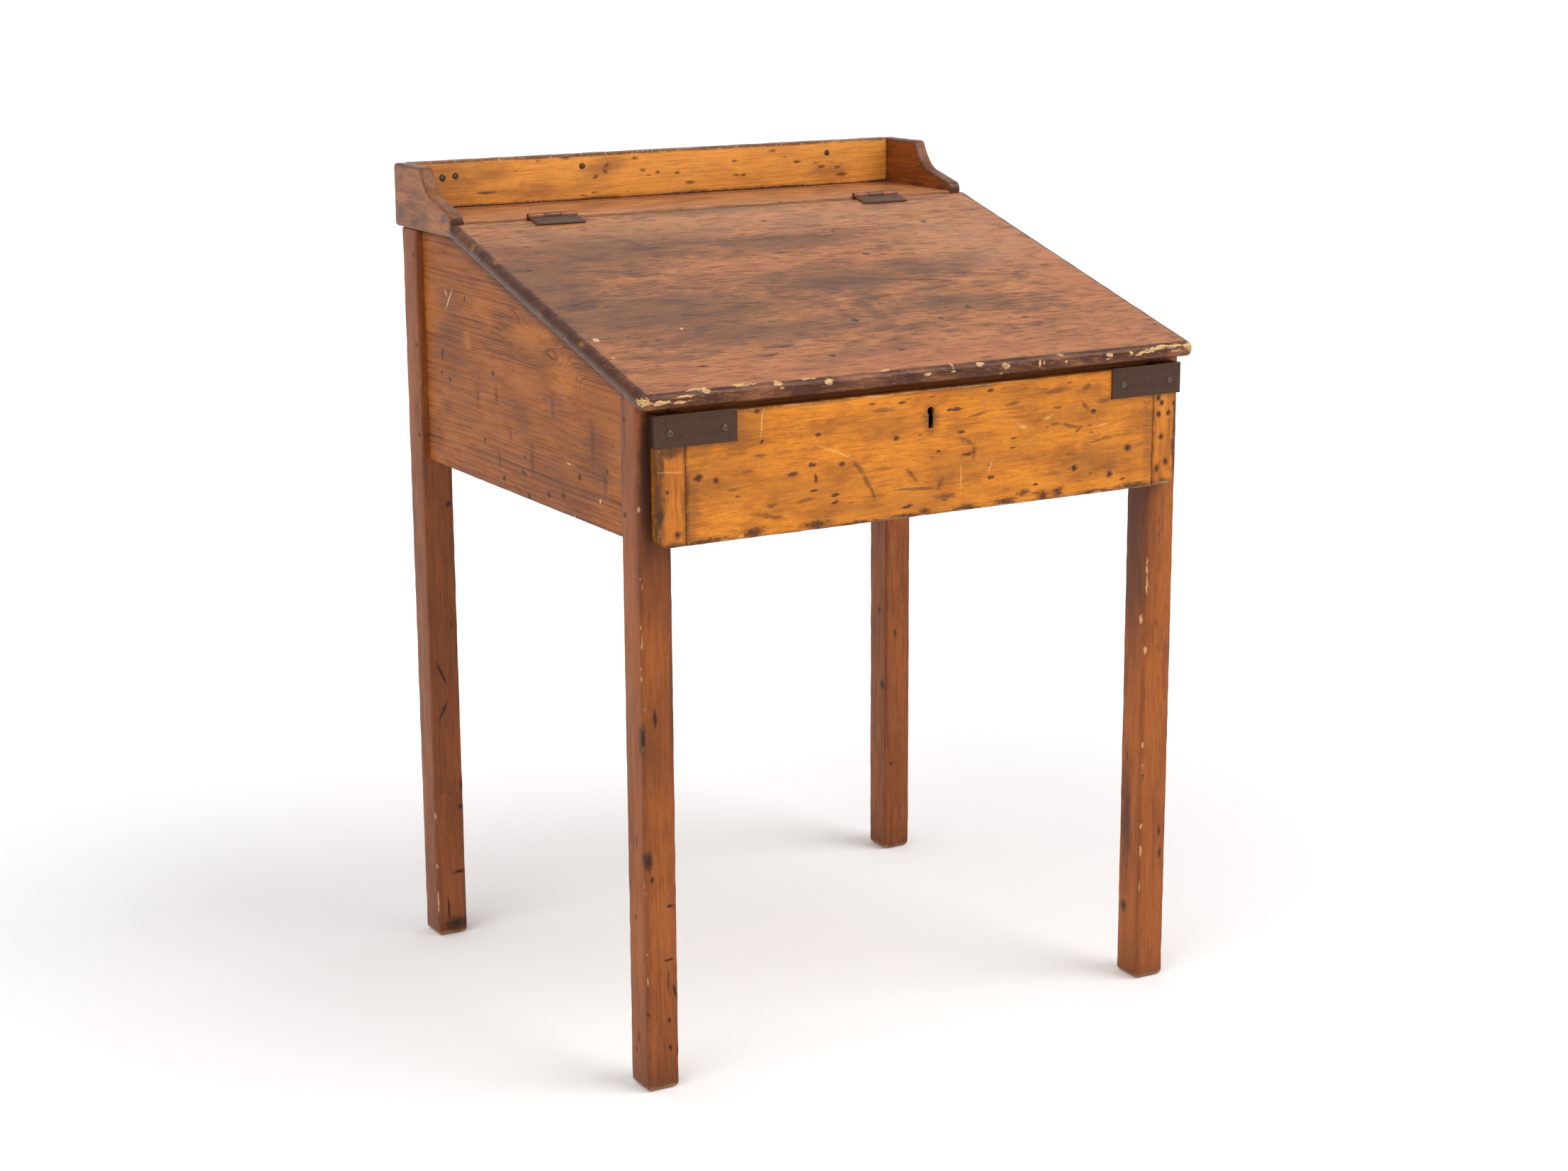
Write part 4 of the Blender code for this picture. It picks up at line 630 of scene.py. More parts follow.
def makeLid():
    hinge = next(Vector(joint["pos_m"]) for joint in frame["joints"] if joint["name"] == "lid_hinge")
    board = nodes["lid_board"].data
    normal = max(board.polygons, key=lambda face: face.area).normal
    slope = math.atan2(-normal.y, normal.z)
    if normal.z < 0:
        slope = math.atan2(normal.y, -normal.z)
    lidFrame = Matrix.Translation(hinge) @ Matrix.Rotation(slope, 4, "X")
    back = lidFrame.inverted()
    spots = [back @ vert.co for vert in board.vertices]
    low = [min(spot[k] for spot in spots) for k in range(3)]
    high = [max(spot[k] for spot in spots) for k in range(3)]
    rearTop = max(spot.y for spot in spots if spot.z > high[2] - 0.0015)
    corners = rectangle((low[0], low[1]), (high[0], rearTop), [lid["corner"]] * 2 + [lid["rearCorner"]] * 2)
    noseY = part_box("lid_board")[0].y
    dents = []
    for x, z, halfLong, halfHigh, turn in lid["chips"]:
        middle = back @ Vector((x / 1000, noseY, z / 1000))
        dents.append((middle, (max(0.004, halfLong / 1000), 0.010, max(0.003, halfHigh / 1000))))
    mesh = boardMesh(corners, low[2], high[2], Matrix.Identity(4), dict(lid["shape"], dents=dents))
    tilt = math.tan(slope)
    for vert in mesh.vertices:  # the rear edge stands plumb against the shelf
        nearRear = min(1.0, max(0.0, (vert.co.y - (rearTop - 0.012)) / 0.004))
        vert.co.y += nearRear * (vert.co.z - high[2]) * tilt
    mesh.transform(lidFrame)
    cutters = []
    for side in ("left", "right"):
        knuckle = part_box("hinge_pin_" + side)
        bm = bmesh.new()
        bmesh.ops.create_cone(
            bm, cap_ends=True, segments=32, radius1=lid["knuckleRoom"], radius2=lid["knuckleRoom"],
            depth=knuckle[1].x - knuckle[0].x + 0.002,
            matrix=Matrix.Translation((knuckle[0] + knuckle[1]) / 2) @ Matrix.Rotation(math.pi / 2, 4, "Y"))
        cutters.append(bm)
    mesh = cutBy(mesh, cutters)
    look = dict(lid["look"], edge=dict(lid["look"]["edge"], chips=lid["chips"]))
    finished("writingLid", mesh, pine("stainedPineShellac", look), "lid", lid["slot"], "lid_board")
    return lidFrame


lidFrame = makeLid()
print("lid made")


# gallery: two scrolled ends and the back rail

gallery = {
    "endShape": {"step": 0.004, "rims": (0.0026, 0.0026), "faceRings": (0.0036, 0.0050), "wobble": 0.0004},
    "backShape": {"step": 0.006, "rims": (0.0016, 0.0016), "faceRings": (0.004, 0.009, 0.016),
                  "wobble": 0.0004},
    "heelRadius": 0.0055,  # the ends' lower rear corner
    "backCorner": 0.001, "backLap": 0.0002,
    # the right end's colours, darker and more saturated than the left's, are painted shade for its inner
    # face, which stands in shadow
    "rightTone": {"early": "#8f4a1c", "late": "#5f2c0e", "patch": "#5a2a10", "heart": (400, 240, 860)},
    "endLook": {  # red-brown stained pine, dark and rubbed along the scroll
        "grain": "Y", "plane": "YZ", "rise": 2.0, "heart": (-420, 240, 870), "ring": 3.4, "ringShow": 0.5,
        "wave": 22, "waveSize": 90, "early": "#a2602f", "late": "#683616", "fibreShow": 0.5, "bandShow": 0.4,
        "patch": "#553322", "patchShow": 0.35, "patchSize": 30, "glow": "#ab6936", "glowShow": 0.35,
        "smear": (30, 8), "smearShow": 0.35, "grit": 0.10,
        "fleck": "#3a1e12", "fleckShare": 0.05, "fleckShow": 0.6,
        "rough": (0.36, 0.52), "shine": 0.3, "bump": 0.4,
        "edge": {"grimeReach": (0.8, 2.0), "grime": "#3d2416", "grimeShow": 0.7, "gloss": 0.1,
                 "speckReach": (3, 3), "speck": "#b06a2c", "speckShow": 0.5, "speckSize": (6, 2.0),
                 "bareReach": (-4, 4), "bareShow": 0.5, "bare": "#b98d66"},
        "stainsAndShade": [{"colour": "#3d2a22", "soft": 0.8, "show": 0.65, "smeared": True, "ragged": 1.2, "marks": [
            (300, 893, 12, 6, 0), (232, 893, 14, 5, 0), (315, 928, 3, 9, 0), (262, 884, 10, 4, 0),
            (150, 880, 9, 8, 0), (172, 898, 12, 4, -20)]},
            {"colour": "#2e221c", "soft": 0.5, "show": 0.8, "ragged": 0.9, "marks": [(155, 893, 5, 7, 0)]},
            {"depth": (-339, 7), "colour": "#b5702c", "soft": 0.7, "show": 0.6, "ragged": 1.0, "marks": [
                (229, 936, 14, 5, 55), (214, 919, 14, 5, 30)]}],
    },
    "backLook": {  # amber polish over pine, speckled along its edges
        "grain": "X", "plane": "XZ", "rise": 1.4, "heart": (0, 345, 880), "ring": 3.2, "ringShow": 0.45,
        "wave": 22, "waveSize": 90, "early": "#f0a044", "late": "#b46c2c", "fibreShow": 0.45,
        "bandShow": 0.35,
        "patch": "#a0622f", "patchShow": 0.3, "patchSize": 45, "glow": "#eda24a", "glowShow": 0.45,
        "smear": (40, 7), "smearShow": 0.2, "grit": 0.08,
        "fleck": "#5f3316", "fleckShare": 0.07, "fleckShow": 0.65,
        "rough": (0.34, 0.48), "shine": 0.32, "bump": 0.32,
        "edge": {"grimeReach": (1.0, 2.0), "grime": "#4d2c1a", "grimeShow": 0.85,
                 "speckReach": (4, 3), "speck": "#e0ab88", "speckShow": 0.6,
                 "bareReach": (-3, 4), "bareShow": 0.5, "bare": "#e0a987"},
        "stainsAndShade": [
            {"depth": (302, 8), "colour": "#8a5230", "soft": 0.9, "show": 0.6, "smeared": True,
             "ragged": 1.2, "marks": [
                (-300, 920, 50, 34, 0), (-233, 932, 26, 9, 0), (-78, 931, 26, 11, 20), (244, 912, 26, 7, 0),
                (-180, 908, 60, 7, 0)]},
            {"plane": "XY", "depth": (950, 3), "colour": "#6a3d24", "soft": 0.6, "show": 0.8, "ragged": 0.6,
             "marks": [
                (0, 310, 420, 14, 0)]},
            {"depth": (302, 8), "colour": "#5a3019", "soft": 0.6, "show": 0.8, "ragged": 0.9, "marks": [
                (-130, 946, 6, 2.4, 0), (-89, 922, 4, 2.6, 20), (-74, 935, 5, 2, 40), (-76, 928, 4, 2, -20),
                (-34, 942, 4, 1.8, 0), (-25, 926, 4, 1.8, 0), (-4, 923, 3, 2, 0), (42, 908, 6, 2, 0),
                (106, 931, 4, 2, 0), (108, 914, 5, 1.8, 0), (118, 913, 3, 2, 0), (23, 921, 4, 1.8, 0),
                (-236, 910, 12, 1.8, 0), (160, 941, 5, 1.6, 0), (196, 926, 5, 2, 0), (262, 907, 8, 2.4, 0),
                (232, 918, 5, 2, 10), (256, 916, 4, 2, 0)]},
            {"depth": (302, 8), "colour": "#1f120b", "soft": 0.25, "show": 0.95, "ragged": 0.2, "marks": [
                (-292, 930.5, 4.2, 4.2, 0), (-275, 931.5, 4.2, 4.2, 0), (-107, 935.5, 3.8, 3.8, 0),
                (240, 935, 3.6, 3.6, 0)]},
        ],
    },
}


def plainCorners(corners, shortest=0.001):
    # a round drawn in runs shorter than this becomes one plain corner
    points = [Vector(corner) for corner in corners]
    total = len(points)
    tiny = [(points[(k + 1) % total] - points[k]).length < shortest for k in range(total)]
    result = []
    for k in range(total):
        if tiny[k] and not tiny[k - 1]:
            last = k
            while tiny[last % total]:
                last += 1
            lines = points[k - 1], points[k], points[last % total], points[(last + 1) % total]
            crossing = intersect_line_line(*[point.to_3d() for point in lines])
            result.append(crossing[0].xy)
        elif not tiny[k] and not tiny[k - 1]:
            result.append(points[k])
    return result


def smoothed(corners, sharp=35, parts=4, straight=0.015):
    # finer steps round the curves; sharp corners and long straights stay
    total, result = len(corners), []
    points = [Vector(corner) for corner in corners]

    def turning(k):
        coming, going = points[k % total] - points[k - 1], points[(k + 1) % total] - points[k % total]
        return math.degrees(coming.angle(going))

    for k in range(total):
        a, b = points[k], points[(k + 1) % total]
        run = b - a
        startWay, endWay = run, run
        if 0.5 < turning(k) < sharp:
            startWay = (b - points[k - 1]).normalized() * run.length
        if 0.5 < turning((k + 1) % total) < sharp:
            endWay = (points[(k + 2) % total] - a).normalized() * run.length
        count = 1 if run.length > straight or (startWay == run and endWay == run) else parts
        for step in range(count):
            t = step / count
            result.append(a * (2 * t ** 3 - 3 * t ** 2 + 1) + startWay * (t ** 3 - 2 * t ** 2 + t)
                          + b * (3 * t ** 2 - 2 * t ** 3) + endWay * (t ** 3 - t ** 2))
    return result


def grown(corners, node, first, second):
    # the flat face lies inside the node's softened edges: bring it out to the node's own size
    low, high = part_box(node)
    lowest = [min(c[k] for c in corners) for k in (0, 1)]
    highest = [max(c[k] for c in corners) for k in (0, 1)]
    spread = [(high[axis] - low[axis]) / (highest[k] - lowest[k]) for k, axis in enumerate((first, second))]
    return [(low[first] + (c[0] - lowest[0]) * spread[0],
             low[second] + (c[1] - lowest[1]) * spread[1]) for c in corners]


def makeGallery():
    # the right end takes the darker colours: painted shade for its inner face
    endWood = {"left": pine("stainedPineRubbed", gallery["endLook"]),
               "right": pine("stainedPineWarm", dict(gallery["endLook"], **gallery["rightTone"]))}
    for side in ("left", "right"):
        node = "gallery_end_" + side
        low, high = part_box(node)
        corners = plainCorners(faceOutline(node, Vector((1, 0, 0)), 1, 2))
        corners = smoothed(grown(corners, node, 1, 2))
        heel = min(corners, key=lambda corner: corner.y - corner.x)  # the lower rear corner
        corners = [(corner.x, corner.y, gallery["heelRadius"] * (corner is heel)) for corner in corners]
        mesh = boardMesh(corners, low.x, high.x, faceMatrix("Y", "Z", "X"), gallery["endShape"])
        finished("galleryEnd" + side.capitalize(), mesh, endWood[side], "frame", "red_pine", node)
    low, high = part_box("gallery_back")
    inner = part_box("gallery_end_right")[0].x + gallery["backLap"]
    corners = rectangle((-inner, low.z), (inner, high.z), [gallery["backCorner"]] * 4)
    mesh = boardMesh(corners, -high.y, -low.y, faceMatrix("X", "Z", "-Y"), gallery["backShape"])
    backWood = pine("amberPolishedPine", gallery["backLook"])
    finished("galleryBack", mesh, backWood, "frame", "amber_pine", "gallery_back")


makeGallery()
print("gallery made")


# case: four square legs, two side panels and the back

case = {
    "legRadius": 0.0030,
    "legShape": {"step": 0.0095, "rims": (0.0070, 0.0016), "faceRings": (0.009, 0.013), "wallStep": 0.012,
                 "arrisWear": True, "wobble": 0.0005},
    "panelShape": {"step": 0.012, "rims": (0.0008, 0.0008), "rimSteps": 2, "faceRings": (0.006, 0.014, 0.026),
                   "wobble": 0.0002},
    "panelMarkDepth": 6,  # mm: the left panel's marks stay on its outer face
    "rightFigure": {"heart": (300, 0, 400), "swells": [(60, 720, 40, 16, 6), (-120, 660, 24, 10, 0)]},
    "legLook": {  # red-brown stain on square pine legs, paler on the worn arrises
        "grain": "Z", "plane": "XZ", "rise": 0.8, "drift": 0.6, "heart": (0, 0, 0), "ring": 2.8,
        "ringShow": 0.5,
        "wave": 9, "waveSize": 60, "early": "#9a5426", "late": "#6a3414", "fibreShow": 0.55, "bandShow": 0.4,
        "patch": "#5c2f17", "patchShow": 0.4, "patchSize": 60, "glow": "#a86028", "glowShow": 0.35,
        "smear": (70, 8), "smearShow": 0.3, "grit": 0.08,
        "fleck": "#3b1d10", "fleckShare": 0.025, "fleckShow": 0.6,
        "rough": (0.38, 0.54), "shine": 0.24, "bump": 0.4,
        "edge": {"grimeReach": (0.5, 2), "grime": "#4d2a1a", "grimeShow": 0.35,
                 "speckReach": (0.6, 2), "speck": "#b07a52", "speckShow": 0.35,
                 "bareReach": (-3.2, 5), "bareShow": 0.8, "bare": "#d6a070"},
    },
    "feet": [
        {"colour": "#3a2116", "soft": 0.9, "show": 0.4, "smeared": True, "ragged": 0.9,
         "marks": [(0, 0, 600, 30, 0)]},
        {"colour": "#c08a58", "soft": 0.5, "show": 0.75, "ragged": 1.2, "marks": [(0, 0, 600, 5, 0)]}],
    "legs": {  # heart of the tree, the leg's tone, and marks on its front and left faces: knots, knocks, darker patches and pale worn specks, with painted shade beside the drawer and on the front right leg's inner face
        "front_left": {"heart": (-380, -200, 400), "early": "#95501f", "late": "#652f10", "stainsAndShade": [
            # painted shade: a dark strip on the leg's front face beside the drawer's proud end, which keeps
            # it in shadow
            {"depth": (-296, 8), "colour": "#2a130a", "soft": 0.5, "show": 0.92, "ragged": 0.3, "marks": [
                (-334, 674, 9, 78, 0)]},
            {"depth": (-296, 8), "colour": "#4e2814", "soft": 0.9, "show": 0.5, "smeared": True,
             "ragged": 1.0, "marks": [
                (-330, 590, 40, 60, 0), (-337, 382, 12, 40, 0)]},
            {"depth": (-296, 8), "colour": "#24120b", "soft": 0.6, "show": 0.9, "ragged": 0.7, "marks": [
                (-341, 262, 4.5, 10, 0), (-336, 241, 2.2, 3, 0), (-330, 418, 2.4, 9, 0),
                (-344, 396, 2, 14, 0), (-318, 148, 5, 1.4, 0), (-319, 79, 2.4, 2.8, 0),
                (-318, 48, 1.8, 3.6, 0), (-309, 42, 1.4, 4, 0), (-315, 208, 4.4, 1.6, -4),
                (-311, 111, 1.6, 8, 15), (-319, 122, 0.8, 13, 0), (-343, 90, 1.2, 2.6, 0)]},
            {"plane": "YZ", "depth": (-345, 8), "colour": "#2c160d", "soft": 0.6, "show": 0.75,
             "ragged": 0.7, "marks": [
                (-273, 194, 2, 3, 0), (-275, 59, 2, 6, 0), (-270, 42, 2, 4, 0), (-278, 281, 1.6, 8, 0)]},
            {"plane": "YZ", "depth": (-345, 2), "colour": "#d8a878", "soft": 0.3, "show": 0.8,
             "ragged": 0.7, "marks": [
                (-296, 224, 1.0, 2.4, 0), (-296, 158, 1.0, 2.0, 0), (-296, 127, 0.9, 5, 0),
                (-296, 78, 1.0, 3, 0), (-296, 31, 1.0, 8, 0), (-294, 642, 1.8, 2.4, 0),
                (-295, 569, 1.1, 2, 0), (-295, 517, 1.0, 2.6, 0), (-295, 462, 1.0, 3.4, 0)]}]},
        "front_right": {"heart": (260, -240, 300), "early": "#ad5f22", "late": "#7a3a10", "glow": "#b86a26",
                        "stainsAndShade": [
            {"depth": (-296, 8), "colour": "#7a3f1e", "soft": 0.9, "show": 0.35, "smeared": True,
             "ragged": 1.0, "marks": [(326, 150, 40, 220, 0)]},
            # painted shade: darker patches on the inner face, which the case above keeps in shadow
            {"plane": "YZ", "depth": (307, 20), "colour": "#4a2c20", "soft": 0.9, "show": 0.85,
             "smeared": True, "ragged": 1.0,
             "marks": [(-270, 560, 30, 140, 0), (-269, 203, 8, 60, 0)]},
            {"depth": (-296, 8), "colour": "#2a150c", "soft": 0.6, "show": 0.8, "ragged": 0.7,
             "marks": [(335, 181, 2, 5, 0), (337, 154, 2, 6, 0)]},
            {"plane": "YZ", "depth": (307, 8), "colour": "#24120b", "soft": 0.6, "show": 0.85,
             "ragged": 0.7, "marks": [(-268, 85, 5, 7, 0)]},
            {"plane": "YZ", "depth": (307, 3), "colour": "#e3b27c", "soft": 0.3, "show": 0.9, "ragged": 0.8,
             "marks": [
                (-288, 440, 3, 5, 0), (-296, 487, 0.9, 24, 0), (-296, 404, 1.3, 5, 0),
                (-296, 289, 1.6, 4, 0), (-296, 259, 1.1, 9, 0), (-296, 191, 1.5, 4, 0),
                (-296, 160, 1.1, 8, 0), (-296, 116, 1.2, 9, 0)]}]},
        "back_left": {"heart": (-260, 200, 500), "early": "#8f4f26", "late": "#602e13", "stainsAndShade": [
            {"depth": (266, 8), "colour": "#54290f", "soft": 0.9, "show": 0.3, "smeared": True,
             "ragged": 1.0, "marks": [(-326, 440, 40, 150, 0)]},
            {"depth": (266, 8), "colour": "#24120b", "soft": 0.6, "show": 0.9, "ragged": 0.7, "marks": [
                (-331, 338, 14, 1.9, -66), (-330, 290, 12, 1.5, -117), (-316, 81, 8, 2, 4),
                (-331, 35, 1.6, 15, 0), (-314, 545, 3, 4, 0), (-309, 192, 3, 4, 0), (-311, 164, 4, 3, 0),
                (-322, 14, 14, 8, 0)]},
            {"plane": "YZ", "depth": (-345, 3), "colour": "#dcab7c", "soft": 0.3, "show": 0.85,
             "ragged": 0.8, "marks": [
                (266, 157, 1.6, 4, 0), (266, 92, 1.5, 3, 0), (266, 45, 1.4, 14, 0)]}]},
        "back_right": {"heart": (400, 220, 350), "early": "#945126", "late": "#602e12", "stainsAndShade": [
            {"plane": "YZ", "depth": (307, 8), "colour": "#24120b", "soft": 0.6, "show": 0.85,
             "ragged": 0.7, "marks": [
                (272, 229, 5, 6, 0), (280, 330, 2, 5, 0)]},
            {"depth": (266, 8), "colour": "#2a150c", "soft": 0.6, "show": 0.8, "ragged": 0.7,
             "marks": [(322, 300, 2, 6, 0), (316, 120, 3, 2, 0)]}]},
    },
    "sideLook": {  # wide pine panel, orange-brown, fine dark lines and a broad arched figure
        "grain": "Y", "plane": "YZ", "rise": 0.0, "drift": 1.5, "heart": (-305, 0, 420), "ring": 4.4,
        "ringShow": 1.0,
        "wave": 12, "waveSize": 60, "early": "#a05818", "late": "#5a2c0c", "fibreShow": 0.5, "bandShow": 0.4,
        "patch": "#5a2f15", "patchShow": 0.22, "patchSize": 60, "glow": "#b96a22", "glowShow": 0.4,
        "smear": (44, 7), "smearShow": 0.2, "grit": 0.09,
        "fleck": "#43200f", "fleckShare": 0.035, "fleckShow": 0.6,
        "rough": (0.38, 0.54), "shine": 0.2, "bump": 0.36,
        "swells": [(-30, 788, 32, 14, -6), (-100, 752, 30, 14, 20)],
        "edge": {"grimeReach": (2, 5), "grime": "#4d2c1b", "grimeShow": 0.5,
                 "speckReach": (0.5, 3), "speck": "#b98352", "speckShow": 0.2,
                 "bareReach": (-4, 4), "bareShow": 0.5, "bare": "#d09a66"},
    },
    "sideStainsAndShadow": [  # on the left panel
        {"colour": "#c27228", "soft": 0.8, "show": 0.5, "smeared": True, "ragged": 0.6, "marks": [
            (-26, 786, 46, 13, -6), (-111, 752, 30, 18, 0), (142, 759, 9, 9, 0)]},
        # painted shadow along the panel's top edge, cast by the lid's overhang
        {"colour": "#38190b", "soft": 0.8, "show": 0.75, "ragged": 0.3, "marks": [(-83, 806, 330, 9, 15.1)]},
        {"colour": "#4d2413", "soft": 0.9, "show": 0.4, "smeared": True, "ragged": 1.1, "marks": [
            (-189, 690, 26, 30, 0), (0, 691, 26, 18, 30), (204, 676, 14, 8, 0), (-100, 640, 40, 18, 0),
            (190, 760, 30, 40, 0)]},
        {"colour": "#43200f", "soft": 0.9, "show": 0.6, "ragged": 0.9, "marks": [
            (65, 708, 3, 9, 0), (116, 700, 2.8, 8, 0), (-26, 651, 4, 16, 0), (61, 634, 3, 8, 0),
            (-177, 690, 5, 18, 0), (-81, 715, 3.6, 10, 0), (29, 669, 2.6, 6, 0), (-205, 655, 4, 14, 0)]},
        {"colour": "#2b140b", "soft": 0.45, "show": 0.9, "ragged": 0.6, "marks": [
            (214, 735, 3.4, 6.5, 0), (217, 713, 2.2, 2.6, 0), (194, 709, 3, 3, 0), (145, 808, 2, 3.4, 0),
            (73, 732, 3.4, 3.2, 0), (-144, 649, 4.4, 3.6, 0), (-16, 607, 4, 4, 0), (-66, 617, 3.4, 4, 0),
            (-103, 622, 2.6, 3.6, 0), (-7, 649, 2.6, 2.4, 0), (-4, 631, 6, 1.7, 10), (50, 616, 3.2, 3.4, 0),
            (99, 652, 2.6, 2.4, 0), (-211, 666, 3, 2.4, 0)]},
        {"colour": "#e0b58a", "soft": 0.35, "show": 0.85, "ragged": 0.5, "marks": [
            (198, 809, 5, 1.0, 62), (190, 802, 16, 1.1, 131), (-192, 632, 1.6, 2.6, 0),
            (-129, 603, 2.4, 2.4, 0), (-118, 660, 4, 1.1, 0)]},
    ],
    "backLook": {  # the same pine across the back, drier and duller
        "grain": "X", "plane": "XZ", "rise": 0.0, "drift": 4, "heart": (60, 235, 735), "ring": 4.4,
        "ringShow": 0.75,
        "wave": 34, "waveSize": 110, "early": "#a5602e", "late": "#6b3717", "fibreShow": 0.55,
        "bandShow": 0.45,
        "patch": "#643a22", "patchShow": 0.5, "patchSize": 110, "glow": "#b5723c", "glowShow": 0.4,
        "smear": (60, 12), "smearShow": 0.4, "grit": 0.09,
        "fleck": "#43200f", "fleckShare": 0.04, "fleckShow": 0.6, "knot": "#3d1c0c",
        "rough": (0.46, 0.62), "shine": 0.22, "bump": 0.36,
        "edge": {"grimeReach": (3, 8), "grime": "#52301e", "grimeShow": 0.5,
                 "speckReach": (0.5, 3), "speck": "#b98352", "speckShow": 0.25,
                 "bareReach": (-4, 3), "bareShow": 0.5, "bare": "#c9935f"},
        "knots": [(-170, 690, 8, 6, 0), (120, 770, 6, 5, 0), (215, 655, 5, 4, 0)],
    },
    "shelfEase": 0.0008,
    "shelfTone": {  # as the lid, lighter, with a dull line along the gallery
        "heart": (0, 230, 700), "early": "#bd7a48", "late": "#7a4623", "patchShow": 0.3, "smearShow": 0.3,
        "stainsAndShade": [
            {"colour": "#5b3a28", "soft": 0.7, "show": 0.7, "smeared": True, "ragged": 0.8,
             "marks": [(0, 285, 400, 6, 0)]},
            {"colour": "#8f6a52", "soft": 0.7, "show": 0.5, "smeared": True, "ragged": 1.0,
             "marks": [(0, 278, 400, 3, 0)]}],
    },
}


def makeCase():
    for corner, own in case["legs"].items():
        node = "leg_" + corner
        low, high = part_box(node)
        corners = rectangle((low.x, low.y), (high.x, high.y), [case["legRadius"]] * 4)
        mesh = boardMesh(corners, low.z, high.z, Matrix.Identity(4), case["legShape"])
        name = "leg" + "".join(word.capitalize() for word in corner.split("_"))
        look = dict(case["legLook"], **own)
        look["stainsAndShade"] = case["feet"] + own["stainsAndShade"]
        finished(name, mesh, pine("stainedPine" + name[3:], look), "frame", "red_pine", node)
    for side, sign in (("left", -1), ("right", 1)):
        node = "side_panel_" + side
        low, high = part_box(node)
        corners = [(y, z, 0) for y, z in faceOutline(node, Vector((sign, 0, 0)), 1, 2)]
        mesh = boardMesh(corners, low.x, high.x, faceMatrix("Y", "Z", "X"), case["panelShape"])
        look = dict(case["sideLook"])
        if side == "left":
            look["stainsAndShade"] = case["sideStainsAndShadow"]
            look["depth"] = (low.x * 1000, case["panelMarkDepth"])
        else:
            look.update(case["rightFigure"])
        wood = pine("orangeBrownPine" + side.capitalize(), look)
        finished("sidePanel" + side.capitalize(), mesh, wood, "frame", "red_pine", node)
    low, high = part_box("back_panel")
    corners = [(x, z, 0) for x, z in faceOutline("back_panel", Vector((0, 1, 0)), 0, 2)]
    mesh = boardMesh(corners, -high.y, -low.y, faceMatrix("X", "Z", "-Y"), case["panelShape"])
    backWood = pine("orangeBrownPineBack", case["backLook"])
    finished("backPanel", mesh, backWood, "frame", "red_pine", "back_panel")
    shelfLook = dict(lid["look"], **case["shelfTone"])
    shelfLook.pop("edge")
    mesh = easedCopy("shelf", case["shelfEase"], 2)
    finished("shelf", mesh, pine("stainedPineShelf", shelfLook), "frame", "dark_pine", "shelf")


makeCase()
print("case made")


# drawer front: amber board between two upright clamps, with a keyhole

